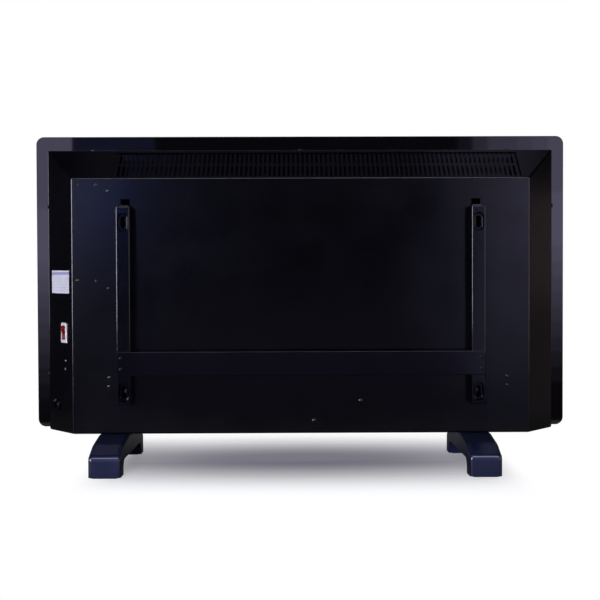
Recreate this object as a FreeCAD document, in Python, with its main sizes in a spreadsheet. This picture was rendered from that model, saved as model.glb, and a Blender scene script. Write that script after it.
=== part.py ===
import FreeCAD, Part
import math
import os
import re

import Sketcher
from FreeCAD import Placement, Rotation, Vector

# Glass panel heater, in millimetres, +Z up.
# The origin lies on the floor, under the middle of the glass and midway along the feet.
# The glass faces -Y. The steel case and its wall bracket are behind it, towards +Y.
# The mains switch and the controls are at the +X end, which is the right-hand end from the front.

SIZES = {
    # Fits shared by several pieces
    "seat_gap": 0.3,
    "hole_play": 0.2,
    "pin_play": 0.05,
    "cut_over": 4,
    # Glass front
    "glass_width": 830,
    "glass_height": 456,
    "glass_thick": 4,
    "glass_corner": 12,
    "glass_arris": 0.8,
    "glass_bottom": 55,
    "glass_back": 33,
    # Bonding tape and chassis behind the glass
    "tape_thick": 1.2,
    "tape_width": 14,
    "tape_inset": 6,
    "chassis_sheet": 0.8,
    "chassis_rim": 10,
    # Rear case, a folded tray with leaning side and top walls
    "case_drop": 3,
    "case_width": 788,
    "case_height": 436,
    "case_depth": 65.6,
    "case_sheet": 1,
    "case_bend": 3,
    "rim_depth": 12,
    "back_width": 694,
    "back_height": 388,
    "corner_hole": 2.6,
    # Warm air outlet in the leaning top wall
    "vent_length": 618,
    "vent_offset": 25,
    "vent_from_rim": 8.3,
    "vent_margin": 2,
    "slot_length": 26,
    "slot_width": 3.6,
    "slot_pitch": 7.2,
    "slot_bar": 6,
    "grille_lap": 2,
    "grille_sheet": 1,
    # Cool air inlet in the bottom wall
    "inlet_length": 436,
    "inlet_slot_length": 34,
    "inlet_slot_width": 6,
    "inlet_pitch": 14,
    "inlet_middle": 36,
    # Feet
    "foot_length": 240,
    "foot_width": 47,
    "foot_spacing": 551,
    "foot_offset": 9.5,
    "foot_toe": 30,
    "foot_end": 31.5,
    "foot_knee": 86,
    "foot_knee_top": 44.5,
    "foot_knee_round": 60,
    "foot_arch": 22.5,
    "foot_end_round": 10,
    "foot_side_round": 5.5,
    "foot_arch_round": 14,
    "foot_wall": 3,
    "foot_rib": 2.4,
    "foot_boss": 7,
    "foot_screw_spacing": 30,
    "foot_screw_back": 5,
    "pad_thick": 2,
    "pad_show": 1,
    "pad_rim": 1.5,
    "foot_plate_thick": 3,
    "foot_plate_width": 30,
    "foot_plate_length": 44,
    # Wall bracket
    "bracket_stand": 28,
    "bracket_margin": 81.5,
    "bracket_sheet": 1.5,
    "bracket_bend": 2,
    "upright_width": 21,
    "upright_height": 297,
    "upright_bottom": 99,
    "ear_width": 6.5,
    "ear_depth": 8,
    "dish_width": 15,
    "dish_height": 28,
    "dish_depth": 4,
    "dish_taper": 28,
    "wall_slot_width": 7,
    "wall_slot_length": 18,
    "wall_slot_low": 19,
    "wall_slot_spacing": 254,
    "lip_above": 8,
    "bar_height": 36,
    "bar_low": 44,
    "bar_flange": 8,
    "bar_inset": 1.5,
    "bar_rivet_pitch": 16.4,
    "bar_rivet_out": 4,
    # Hooks that the bracket hangs from
    "hook_width": 12,
    "hook_thick": 2.5,
    "hook_reach": 14,
    "hook_nose": 9,
    "hook_base": 36,
    "hook_play": 1,
    "hook_hole_height": 13,
    "hook_rivet_pitch": 9,
    # Fasteners
    "rivet_radius": 1.6,
    "rivet_head": 2.7,
    "rivet_dome": 1,
    "rivet_tail": 1.4,
    "lock_radius": 2,
    "lock_head": 4,
    "lock_head_height": 2.6,
    "lock_length": 8,
    "rim_screw_radius": 1.7,
    "rim_screw_head": 3.4,
    "rim_screw_head_height": 1.8,
    "rim_screw_length": 7,
    "foot_screw_radius": 2.4,
    "foot_screw_head": 4.4,
    "foot_screw_head_height": 3,
    # Mains switch on the leaning +X wall
    "switch_along": 47.6,
    "switch_height": 153.6,
    "bezel_width": 15.4,
    "bezel_height": 31,
    "bezel_thick": 2,
    "bezel_round": 2,
    "switch_body_width": 13,
    "switch_body_height": 27,
    "switch_body_depth": 19,
    "rocker_width": 9.4,
    "rocker_reach": 10.8,
    "rocker_crown": 4.6,
    "rocker_dip": 2.9,
    "rocker_root": 5,
    "rocker_tilt": 10,
    "rocker_side_gap": 0.3,
    "rocker_end_gap": 0.5,
    "rocker_bore_depth": 13,
    "pivot_depth": 1,
    "pivot_radius": 1.5,
    "pivot_length": 1,
    "tab_width": 6.3,
    "tab_thick": 0.8,
    "tab_length": 8,
    "tab_pitch": 8.5,
    # Cord gland, also on the +X wall
    "gland_along": 24,
    "gland_height": 41,
    "gland_flange": 8.6,
    "gland_flange_thick": 4,
    "gland_barrel": 6.4,
    "gland_inside": 12,
    "gland_nut": 8.5,
    "gland_nut_thick": 5,
    "gland_bore": 3.8,
    # Terminal block inside the +X wall
    "terminal_along": 49.2,
    "terminal_height": 103.8,
    "terminal_width": 15,
    "terminal_length": 30,
    "terminal_depth": 13,
    "terminal_bore": 1.8,
    "terminal_pitch": 9,
    "terminal_rivet_pitch": 13,
    # Heating element and what carries it
    "element_offset": 10.7,
    "element_height": 79,
    "element_forward": 30,
    "element_past_lock": 21,
    "element_hub": 8,
    "element_arm": 24,
    "element_fin": 2.2,
    "element_cross_fin": 8,
    "rod_radius": 4.2,
    "rod_stub": 26,
    "terminal_stud_radius": 2,
    "terminal_stud_length": 12,
    "bush_radius": 8,
    "bush_flange": 11,
    "bush_flange_thick": 3,
    "element_bracket_sheet": 1.5,
    "element_bracket_width": 30,
    "element_bracket_above": 18,
    "element_bracket_foot": 24,
    "element_rivet_out": 11.3,
    "element_rivet_pitch": 13.3,
    "element_end_gap": 3,
    "shield_length": 516,
    "shield_below": 52,
    "shield_above": 130,
    "shield_depth": 8,
    "shield_sheet": 0.6,
    # Thermal cut-out on the heat shield
    "cutout_above": 62,
    "cutout_flange": 12,
    "cutout_flange_thick": 1,
    "cutout_can": 8,
    "cutout_depth": 9,
    # Control box on the back panel
    "box_from_hook": 15.5,
    "box_from_edge": 4,
    "box_height_middle": 300,
    "box_flange": 8,
    "box_flange_height": 166,
    "box_height": 120,
    "box_depth": 36,
    "box_wall": 2,
    "board_margin": 1,
    "board_thick": 1.6,
    "board_stand": 5,
    "relay_height": 22,
    "relay_depth": 17,
    "choke_depth": 15,
    # Tip-over switch on the back panel
    "tip_offset": 55,
    "tip_height": 34.6,
    "tip_flange_width": 86,
    "tip_flange_height": 42,
    "tip_flange_thick": 1.5,
    "tip_width": 40,
    "tip_body_height": 30,
    "tip_depth": 24,
    # Room air sensor on the bottom wall
    "sensor_offset": 335,
    "sensor_back": 30,
    "sensor_clip": 10,
    "sensor_clip_height": 9,
    "sensor_radius": 2.4,
    "sensor_length": 16,
    # Display behind the glass
    "display_offset": 300,
    "display_height": 46,
    "display_width": 56,
    "display_tall": 20,
    "display_depth": 7,
    "display_board_width": 96,
    "display_board_tall": 34,
    "display_spacer": 3,
    "display_window_margin": 2,
}

# Places along a piece, as shares of its half length or of its length
RIM_SCREW_ACROSS_SHARES = (-0.82, 0.0, 0.82)
RIM_SCREW_UP_SHARES = (0.2, 0.8)
BOX_RIVET_SHARES = ((-0.82, -0.95), (-0.82, 0.83), (-0.17, -0.81), (-0.17, 0.94), (0.84, -0.8))
TIP_RIVET_SHARES = ((-0.83, 0.72), (0.83, -0.72))
FOOT_RIB_SHARE = 0.24
FIN_PLACE_SHARES = (0.62, 0.98)
RIVET_TAIL_SHARE = 1.4
GLAND_LIP_SHARE = 0.75
TERMINAL_BORE_SHARE = 0.6
FOLD_SHARE = 0.8
SCREW_EASE_SHARE = 0.33
BEZEL_EASE_SHARE = 0.25
CORNER_HOLE_SHARES = (0.974, 0.977)
RELAY_PLACE_SHARE = 0.55
CHOKE_PLACE_SHARE = 0.5
RELAY_SIZE_SHARE = 0.4
CHOKE_SIZE_SHARE = 0.275
CUTOUT_PLACE_SHARE = 0.33

# Sizes worked out from the ones above
WORKED_OUT = {
    "case_bottom": "glass_bottom - case_drop",
    "slant_depth": "case_depth - rim_depth",
    "side_inset": "(case_width - back_width) / 2",
    "top_inset": "case_height - back_height",
    "side_lean": "side_inset / slant_depth",
    "top_lean": "top_inset / slant_depth",
    "side_angle": "atan2(side_inset; slant_depth)",
    "top_angle": "atan2(top_inset; slant_depth)",
    "side_slope": "sqrt(side_inset^2 + slant_depth^2)",
    "panel_inside": "case_depth - case_sheet",
    "vent_depth": "2 * slot_length + slot_bar",
    "slot_count": "floor(vent_length / slot_pitch)",
    "inlet_count": "floor(inlet_length / inlet_pitch)",
    "chassis_front": "tape_thick",
    "chassis_back": "tape_thick + chassis_sheet",
    "chassis_width": "case_width - 2 * (case_sheet + seat_gap)",
    "chassis_height": "case_height - 2 * (case_sheet + seat_gap)",
    "foot_top": "case_bottom",
    "foot_inner_length": "foot_length / 2 - foot_toe",
    "wall_face": "case_depth + bracket_stand - glass_back",
    "upright_depth": "bracket_stand - seat_gap",
    "upright_top": "upright_bottom + upright_height",
    "channel_half": "upright_width / 2 - bracket_sheet",
    "hook_level": "upright_top + seat_gap",
    "bore_width": "rocker_width + 2 * rocker_side_gap",
    "bore_height": "2 * (rocker_reach + rocker_end_gap)",
    "bracket_spacing": "back_width - 2 * bracket_margin",
    "box_flange_width": "bracket_margin - hook_width / 2 - box_from_hook - box_from_edge",
    "box_middle": "back_width / 2 - box_from_edge - box_flange_width / 2",
    "box_width": "box_flange_width - 2 * box_flange",
    "relay_width": f"{RELAY_SIZE_SHARE} * box_width",
    "choke_radius": f"{CHOKE_SIZE_SHARE} * box_width",
    "element_length": "bracket_spacing + 2 * element_past_lock",
    "element_bracket_at": "element_length / 2 + element_end_gap",
    "element_y": "element_forward - glass_back",
    "element_z": "case_bottom + element_height",
    "shield_back": "chassis_back + shield_depth",
    "bar_middle": "upright_bottom + bar_low + bar_height / 2",
    "rim_screw_y": "(rim_depth + chassis_rim / 2) / 2",
}

document = FreeCAD.newDocument("glass_panel_heater")
sheet = document.addObject("Spreadsheet::Sheet", "dims")
for row, (alias, number) in enumerate(SIZES.items(), start=1):
    sheet.set(f"A{row}", alias)
    sheet.set(f"B{row}", str(number))
    sheet.setAlias(f"B{row}", alias)
document.recompute()


# Expressions and values
def bound(text):
    """Turns sizes named in a text into an expression on the sheet's cells."""
    def replace(match):
        word = match.group(0)
        if word in WORKED_OUT:
            return "(" + bound(WORKED_OUT[word]) + ")"
        return f"dims.{word}" if word in SIZES else word
    return re.sub(r"[a-z_]+[a-z]", replace, str(text))


def value(text):
    """The number that a text of named sizes comes to."""
    return float(FreeCAD.Units.Quantity(str(sheet.evalExpression(bound(text)))).Value)


def bind(item, path, text):
    """Ties one property of an object to named sizes."""
    item.setExpression(path, bound(text))


# Bodies, sketches and features
def place(item, at, axis=None, angle=None):
    """Puts an object at a point, turned about one axis, all from named sizes."""
    if axis is not None:
        item.Placement = Placement(Vector(), Rotation(axis, value(angle)))
        bind(item, "Placement.Rotation.Angle", angle)
    for name, text in zip("xyz", at):
        bind(item, f"Placement.Base.{name}", text)


def new_body(label, at, axis=None, angle=None):
    body = document.addObject("PartDesign::Body", label)
    body.Label = label
    place(body, at, axis, angle)
    return body


def new_sketch(body, name, plane, lift="0"):
    """An empty sketch on one of the body's own origin planes, lifted along the plane's normal."""
    sketch = body.newObject("Sketcher::SketchObject", f"{body.Label}_{name}")
    origin = next(item for item in body.Origin.OriginFeatures if item.Role == f"{plane}_Plane")
    sketch.AttachmentSupport = [(origin, "")]
    sketch.MapMode = "FlatFace"
    bind(sketch, "AttachmentOffset.Base.z", lift)
    return sketch


def tilt_sketch(sketch, base, axis, angle):
    """Turns a sketch's plane about one of its axes, at a point in the plane's own coordinates."""
    sketch.AttachmentOffset = Placement(Vector(), Rotation(axis, value(angle)))
    bind(sketch, "AttachmentOffset.Rotation.Angle", angle)
    for name, text in zip("xyz", base):
        bind(sketch, f"AttachmentOffset.Base.{name}", text)


def hold(sketch, kind, text, *targets):
    """A sketch dimension tied to named sizes."""
    number = sketch.addConstraint(Sketcher.Constraint(kind, *targets, value(text)))
    if text != "0":
        sketch.setExpression(f"Constraints[{number}]", bound(text))


def pin(sketch, geometry, vertex, x, y):
    hold(sketch, "DistanceX", x, -1, 1, geometry, vertex)
    hold(sketch, "DistanceY", y, -1, 1, geometry, vertex)


def draw_outline(sketch, points):
    """A closed outline of straight lines through points given as named sizes."""
    first = sketch.GeometryCount
    corners = [Vector(value(x), value(y), 0) for x, y in points]
    for start, end in zip(corners, corners[1:] + corners[:1]):
        sketch.addGeometry(Part.LineSegment(start, end), False)
    count = len(points)
    for index, (x, y) in enumerate(points):
        following = first + (index + 1) % count
        sketch.addConstraint(Sketcher.Constraint("Coincident", first + index, 2, following, 1))
        pin(sketch, first + index, 1, x, y)


def draw_rectangle(sketch, low_x, high_x, low_y, high_y):
    draw_outline(sketch, [(low_x, low_y), (high_x, low_y), (high_x, high_y), (low_x, high_y)])


def draw_circle(sketch, x, y, radius):
    circle = Part.Circle(Vector(value(x), value(y), 0), Vector(0, 0, 1), value(radius))
    number = sketch.addGeometry(circle, False)
    pin(sketch, number, 3, x, y)
    hold(sketch, "Radius", radius, number)


def draw_upright_slot(sketch, y, width, length):
    """A slot with round ends, standing on the sketch's Y axis."""
    radius = value(width) / 2
    low, high = (Vector(0, value(f"{y} {sign} ({length} - {width}) / 2"), 0) for sign in "-+")
    axis = Vector(0, 0, 1)
    first = sketch.GeometryCount
    sketch.addGeometry(Part.ArcOfCircle(Part.Circle(high, axis, radius), 0, math.pi), False)
    sketch.addGeometry(Part.ArcOfCircle(Part.Circle(low, axis, radius), math.pi, 2 * math.pi), False)
    sketch.addGeometry(Part.LineSegment(high - Vector(radius, 0, 0), low - Vector(radius, 0, 0)), False)
    sketch.addGeometry(Part.LineSegment(low + Vector(radius, 0, 0), high + Vector(radius, 0, 0)), False)
    top, bottom, left, right = range(first, first + 4)
    ring = (top, left, bottom, right)
    for one, following in zip(ring, ring[1:] + ring[:1]):
        sketch.addConstraint(Sketcher.Constraint("Tangent", one, 2, following, 1))
    pin(sketch, top, 3, "0", f"{y} + ({length} - {width}) / 2")
    pin(sketch, bottom, 3, "0", f"{y} - ({length} - {width}) / 2")
    hold(sketch, "Radius", f"{width} / 2", top)


def centred(width, height):
    """The sides of a rectangle about the sketch's own origin."""
    return (f"-{width} / 2", f"{width} / 2", f"-{height} / 2", f"{height} / 2")


def rectangle_sketch(body, name, plane, sides, lift="0"):
    sketch = new_sketch(body, name, plane, lift)
    draw_rectangle(sketch, *sides)
    return sketch


def feature(body, kind, sketch, length=None, reverse=False, symmetric=False, taper=None):
    """Pads or pockets a sketch. A pocket with no length goes through everything, both ways."""
    item = body.newObject(f"PartDesign::{kind}", f"{sketch.Label}_{kind.lower()}")
    item.Profile = sketch
    item.Reversed = reverse
    if symmetric or length is None:
        item.SideType = "Symmetric"
    if length is None:
        item.Type = "ThroughAll"
    else:
        bind(item, "Length", length)
    if taper is not None:
        bind(item, "TaperAngle", taper)
    before = body_volume(body, item)
    document.recompute()
    change = item.Shape.Volume - before
    if (kind == "Pad") != (change > 0) or abs(change) < 1e-6:
        raise ValueError(f"{item.Label} changes the solid by {change}")
    return item


def body_volume(body, newest):
    """The volume of a body before its newest feature."""
    solids = [item for item in body.Group
              if item is not newest and item.isDerivedFrom("PartDesign::Feature")]
    return solids[-1].Shape.Volume if solids else 0.0


def pad(body, sketch, length, **options):
    return feature(body, "Pad", sketch, length, **options)


def pocket(body, sketch, length=None, **options):
    return feature(body, "Pocket", sketch, length, **options)


def dress(body, kind, size, test):
    """Fillets or chamfers the edges of the body's tip that pass a test."""
    tip = body.Tip
    names = [f"Edge{number}" for number, edge in enumerate(tip.Shape.Edges, start=1) if test(edge)]
    item = body.newObject(f"PartDesign::{kind}", f"{body.Label}_{kind.lower()}")
    item.Base = (tip, names)
    bind(item, "Radius" if kind == "Fillet" else "Size", size)
    document.recompute()
    return item


def pattern(body, original, axis, count, span, reverse=False):
    """Repeats a feature along one of the body's own axes."""
    item = body.newObject("PartDesign::LinearPattern", f"{original.Label}_row")
    item.Originals = [original]
    line = next(entry for entry in body.Origin.OriginFeatures if entry.Role == f"{axis}_Axis")
    item.Direction = (line, [""])
    item.Reversed = reverse
    bind(item, "Occurrences", count)
    bind(item, "Length", span)
    body.Tip = item
    document.recompute()
    return item


# Tests on edges, for fillets and chamfers
def runs_along(edge, axis):
    """True for a straight edge that is parallel to an axis of the body."""
    if not isinstance(edge.Curve, Part.Line):
        return False
    return abs(abs(edge.tangentAt(edge.FirstParameter).dot(axis)) - 1) < 1e-6


def lies_at(edge, axis, level):
    """True for an edge whose ends are all at one level along an axis."""
    return all(abs(vertex.Point.dot(axis) - level) < 1e-4 for vertex in edge.Vertexes)


def corner_points(body):
    """The middles of the edges that a body has now, to tell them from edges cut later."""
    return [edge.CenterOfMass for edge in body.Tip.Shape.Edges]


def among(edge, points):
    return any(edge.CenterOfMass.distanceToPoint(point) < 1e-4 for point in points)


ACROSS = Vector(1, 0, 0)
BACKWARD = Vector(0, 1, 0)
UPWARD = Vector(0, 0, 1)


# Simple solids for inner pieces
def new_box(name, at, size):
    box = document.addObject("Part::Box", name)
    for path, text in zip(("Length", "Width", "Height"), size):
        bind(box, path, text)
    place(box, at)
    return box


def new_cylinder(name, at, radius, height, axis=None, angle=None):
    cylinder = document.addObject("Part::Cylinder", name)
    bind(cylinder, "Radius", radius)
    bind(cylinder, "Height", height)
    place(cylinder, at, axis, angle)
    return cylinder


def joined(label, pieces):
    item = document.addObject("Part::MultiFuse", label)
    item.Label = label
    item.Shapes = pieces
    item.Refine = True
    return item


def cut(label, base, tools):
    item = document.addObject("Part::Cut", label)
    item.Label = label
    item.Base = base
    item.Tool = tools[0] if len(tools) == 1 else joined(f"{label}_tools", tools)
    return item


# Fasteners, as groups of like solids
def turned(edges):
    """A solid turned about Z from the edges of its half section."""
    solid = Part.Face(Part.Wire(edges)).revolve(Vector(), UPWARD, 360)
    return solid if solid.Volume > 0 else solid.reversed()


def half_section(points):
    """The edges through points given as radius and height pairs."""
    return Part.makePolygon([Vector(radius, 0, height) for radius, height in points]).Edges


def dome_rivet(grip):
    """A rivet with a domed head over Z = 0 and its tail below the sheets that it grips."""
    radius, head, dome = value("rivet_radius"), value("rivet_head"), value("rivet_dome")
    end = -grip - value("rivet_tail")
    tail = RIVET_TAIL_SHARE * radius
    ball = (head ** 2 + dome ** 2) / (2 * dome)
    crown = Vector(head / 2, 0, dome - ball + math.sqrt(ball ** 2 - head ** 2 / 4))
    arc = Part.Arc(Vector(head, 0, 0), crown, Vector(0, 0, dome)).toShape()
    return turned([arc, *half_section([(0, dome), (0, end), (tail, end), (tail, -grip), (radius, -grip),
                                       (radius, 0), (head, 0)])])


def screw(radius, length, head, head_height):
    """A plain screw with a flat-topped head over Z = 0 and its shank below."""
    ease = SCREW_EASE_SHARE * head_height
    return turned(half_section([(0, head_height), (0, -length), (radius, -length), (radius, 0), (head, 0),
                                (head, head_height - ease), (head - ease, head_height), (0, head_height)]))


def group(label, solid, places):
    """One node of like solids, each put at a point with its Z axis turned to a direction."""
    copies = []
    for where, direction in places:
        copy = solid.copy()
        copy.Placement = Placement(where, Rotation(UPWARD, direction))
        copies.append(copy)
    return as_node(label, copies)


def as_node(label, solids):
    item = document.addObject("Part::Feature", label)
    item.Label = label
    item.Shape = Part.makeCompound(solids)
    item.Placement = Placement()
    return item


def on_side_wall(along, height):
    """A point on the outer face of the leaning +X wall, by its distance from the rim and its height."""
    return (f"case_width / 2 - {along} * side_inset / side_slope",
            f"rim_depth - glass_back + {along} * slant_depth / side_slope", f"case_bottom + {height}")


def side_wall_body(label, along, height):
    """A body standing on the leaning +X wall: X points out of the wall, Y runs back along it."""
    return new_body(label, on_side_wall(along, height), UPWARD, "side_angle")


def point(texts):
    return Vector(*(value(text) for text in texts))


# Places that several pieces share, as named sizes across and up
def control_rivets():
    return [(f"box_middle + {across} * box_flange_width / 2",
             f"case_bottom + box_height_middle + {up} * box_flange_height / 2")
            for across, up in BOX_RIVET_SHARES]


def tip_rivets():
    return [(f"-tip_offset + {across} * tip_flange_width / 2",
             f"case_bottom + tip_height + {up} * tip_flange_height / 2")
            for across, up in TIP_RIVET_SHARES]


def element_rivets():
    out = "(element_bracket_at + element_bracket_sheet + element_rivet_out)"
    return [(f"{side} * {out} - element_offset", f"element_z + {row} * element_rivet_pitch / 2")
            for side in (-1, 1) for row in (-1, 1)]


def hook_rivets():
    low = "hook_level - hook_base + hook_thick + hook_rivet_pitch / 2"
    return [(f"{side} * bracket_spacing / 2", f"{low} + {row} * hook_rivet_pitch")
            for side in (-1, 1) for row in (0, 1)]


def panel_rivets():
    """Every rivet through the back panel, with the sheet that it holds there."""
    groups = ((control_rivets(), "box_wall"), (tip_rivets(), "tip_flange_thick"),
              (element_rivets(), "element_bracket_sheet"), (hook_rivets(), "hook_thick"))
    return [(across, up, held) for places, held in groups for across, up in places]


def rim_screw_places():
    """Rim screws as points on the case's rim and the direction that their heads face."""
    depth = value("rim_screw_y - glass_back")
    bottom, height, half = value("case_bottom"), value("case_height"), value("case_width") / 2
    places = []
    for share in RIM_SCREW_ACROSS_SHARES:
        places.append((Vector(share * half, depth, bottom + height), UPWARD))
        places.append((Vector(share * half, depth, bottom), -UPWARD))
    for share in RIM_SCREW_UP_SHARES:
        places.append((Vector(half, depth, bottom + share * height), ACROSS))
        places.append((Vector(-half, depth, bottom + share * height), -ACROSS))
    return places


# Glass, tape and chassis
def make_front_glass():
    glass = new_body("front_glass", ("0", "-glass_back", "glass_bottom"))
    outline = ("-glass_width / 2", "glass_width / 2", "0", "glass_height")
    pad(glass, rectangle_sketch(glass, "face", "XZ", outline), "glass_thick")
    dress(glass, "Fillet", "glass_corner", lambda edge: runs_along(edge, BACKWARD))
    dress(glass, "Chamfer", "glass_arris", lambda edge: lies_at(edge, BACKWARD, 0)
          or lies_at(edge, BACKWARD, -value("glass_thick")))
    return glass


def make_glass_tape():
    """A frame of foam tape that bonds the glass to the chassis."""
    tape = new_body("glass_tape", ("0", "-glass_back", "case_bottom + case_height / 2"))
    frame = new_sketch(tape, "frame", "XZ")
    for inset in ("tape_inset", "(tape_inset + tape_width)"):
        draw_rectangle(frame, f"-chassis_width / 2 + {inset}", f"chassis_width / 2 - {inset}",
                       f"-chassis_height / 2 + {inset}", f"chassis_height / 2 - {inset}")
    pad(tape, frame, "tape_thick", reverse=True)
    return tape


def make_front_chassis():
    """The sheet steel tray that carries the glass, with its rim inside the rim of the case."""
    at = ("0", "chassis_front - glass_back", "case_bottom + case_height / 2")
    chassis = new_body("front_chassis", at)
    outside = centred("chassis_width", "chassis_height")
    pad(chassis, rectangle_sketch(chassis, "plate", "XZ", outside), "chassis_rim", reverse=True)
    outer = corner_points(chassis)
    inside = [f"{side} {sign} chassis_sheet" for side, sign in zip(outside, "+-+-")]
    hollow = rectangle_sketch(chassis, "hollow", "XZ", inside, "-chassis_rim")
    pocket(chassis, hollow, "chassis_rim - chassis_sheet", reverse=True)
    dress(chassis, "Fillet", "case_bend - chassis_sheet",
          lambda edge: runs_along(edge, BACKWARD) and not among(edge, outer))
    dress(chassis, "Fillet", "case_bend", lambda edge: runs_along(edge, BACKWARD) and among(edge, outer))
    window = new_sketch(chassis, "window", "XZ", "cut_over")
    drop = "display_height - case_height / 2"
    draw_rectangle(window, "display_offset - display_width / 2 - display_window_margin",
                   "display_offset + display_width / 2 + display_window_margin",
                   f"{drop} - display_tall / 2 - display_window_margin",
                   f"{drop} + display_tall / 2 + display_window_margin")
    pocket(chassis, window, "2 * cut_over + chassis_sheet")
    cut_rim_holes(chassis, "rim_screw_y - chassis_front", "0")
    return chassis


def cut_rim_holes(body, depth, middle):
    """Screw holes through the rims of the case and the chassis, which line up."""
    radius = "rim_screw_radius + hole_play"
    rows = new_sketch(body, "rim_holes", "XY")
    for share in RIM_SCREW_ACROSS_SHARES:
        draw_circle(rows, f"{share} * case_width / 2", depth, radius)
    pocket(body, rows)
    ends = new_sketch(body, "end_holes", "YZ")
    for share in RIM_SCREW_UP_SHARES:
        draw_circle(ends, depth, f"({share} - 1 / 2) * case_height + {middle}", radius)
    pocket(body, ends)


# Rear case
def make_rear_case():
    """The folded steel tray: a straight rim, leaning walls, a flat bottom and the back panel."""
    case = new_body("rear_case", ("0", "-glass_back", "case_bottom"))
    rim = ("-case_width / 2", "case_width / 2", "0", "case_height")
    back = ("-back_width / 2", "back_width / 2", "0", "back_height")
    pad(case, rectangle_sketch(case, "rim", "XZ", rim, "-seat_gap"), "rim_depth - seat_gap", reverse=True)
    loft(case, "walls", "AdditiveLoft", (rim, "rim_depth"), (back, "case_depth"))
    outer = corner_points(case)
    # The hollow inside leaves the sheet's thickness square to every wall
    kink = "(rim_depth - case_sheet * tan(side_angle / 2))"
    rim_inside = ("-case_width / 2 + case_sheet", "case_width / 2 - case_sheet", "case_sheet",
                  "case_height - case_sheet")
    narrow = "case_sheet * (sqrt(1 + side_lean^2) - side_lean)"
    lower = "case_sheet * (sqrt(1 + top_lean^2) - top_lean)"
    back_inside = (f"-back_width / 2 + {narrow}", f"back_width / 2 - {narrow}", "case_sheet",
                   f"back_height - {lower}")
    pocket(case, rectangle_sketch(case, "hollow", "XZ", rim_inside, f"-{kink}"), kink, reverse=True)
    loft(case, "hollow_walls", "SubtractiveLoft", (rim_inside, kink), (back_inside, "panel_inside"))
    front = value("seat_gap")
    dress(case, "Fillet", "case_bend - case_sheet",
          lambda edge: not lies_at(edge, BACKWARD, front) and not among(edge, outer))
    dress(case, "Fillet", "case_bend",
          lambda edge: not lies_at(edge, BACKWARD, front) and among(edge, outer))
    cut_back_panel(case)
    cut_outlet(case)
    cut_bottom(case)
    cut_side_wall(case)
    cut_rim_holes(case, "rim_screw_y", "case_height / 2")
    return case


def loft(body, name, kind, *sections):
    """A ruled loft through rectangles that stand at given depths."""
    sketches = [rectangle_sketch(body, f"{name}_{number}", "XZ", sides, f"-{depth}")
                for number, (sides, depth) in enumerate(sections)]
    item = body.newObject(f"PartDesign::{kind}", f"{body.Label}_{name}")
    item.Profile = sketches[0]
    item.Sections = sketches[1:]
    item.Ruled = True
    document.recompute()
    return item


def cut_back_panel(case):
    """Holes in the back panel: rivets, hooks, lock screws and one open hole near the corner."""
    holes = new_sketch(case, "panel_holes", "XZ", "-case_depth - cut_over")
    for rivet_x, rivet_z, held in panel_rivets():
        draw_circle(holes, rivet_x, f"{rivet_z} - case_bottom", "rivet_radius + hole_play")
    across, up = CORNER_HOLE_SHARES
    draw_circle(holes, f"{across} * back_width / 2", f"{up} * back_height", "corner_hole")
    for side in (-1, 1):
        middle = f"{side} * bracket_spacing / 2"
        half = "(hook_width / 2 + hook_play)"
        draw_circle(holes, middle, "upright_bottom + wall_slot_low - case_bottom",
                    "lock_radius + hole_play")
        draw_rectangle(holes, f"{middle} - {half}", f"{middle} + {half}",
                       "hook_level - hook_play - case_bottom",
                       "hook_level + hook_hole_height - hook_play - case_bottom")
    pocket(case, holes, "2 * cut_over", reverse=True)


def cut_outlet(case):
    """The outlet's opening in the leaning top wall, which the grille fills from inside."""
    opening = new_sketch(case, "outlet", "XY")
    tilt_sketch(opening, ("-vent_offset", "rim_depth", "case_height"), ACROSS, "-top_angle")
    draw_rectangle(opening, "-vent_length / 2 - vent_margin", "vent_length / 2 + vent_margin",
                   "vent_from_rim - vent_margin", "vent_from_rim + vent_depth + vent_margin")
    pocket(case, opening, "2 * cut_over", symmetric=True)


def cut_bottom(case):
    """The inlet's opening and the foot screws' holes in the bottom wall."""
    bottom = new_sketch(case, "bottom", "XY")
    draw_rectangle(bottom, "foot_offset - inlet_length / 2", "foot_offset + inlet_length / 2",
                   "inlet_middle - inlet_slot_length / 2 - vent_margin",
                   "inlet_middle + inlet_slot_length / 2 + vent_margin")
    for side in (-1, 1):
        for row in (-1, 1):
            draw_circle(bottom, f"foot_offset + {side} * foot_spacing / 2",
                        f"glass_back + foot_screw_back + {row} * foot_screw_spacing / 2",
                        "foot_screw_radius + hole_play")
    pocket(case, bottom, "2 * cut_over", symmetric=True)


def cut_side_wall(case):
    """Openings in the leaning +X wall for the switch, the gland and the terminal block's rivets."""
    holes = new_sketch(case, "side_holes", "YZ")
    tilt_sketch(holes, ("rim_depth", "0", "case_width / 2"), BACKWARD, "side_angle")
    draw_rectangle(holes, "switch_along - switch_body_width / 2 - hole_play",
                   "switch_along + switch_body_width / 2 + hole_play",
                   "switch_height - switch_body_height / 2 - hole_play",
                   "switch_height + switch_body_height / 2 + hole_play")
    draw_circle(holes, "gland_along", "gland_height", "gland_barrel + hole_play")
    for row in (-1, 1):
        draw_circle(holes, "terminal_along", f"terminal_height + {row} * terminal_rivet_pitch / 2",
                    "rivet_radius + hole_play")
    pocket(case, holes, "2 * cut_over", symmetric=True)


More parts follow.
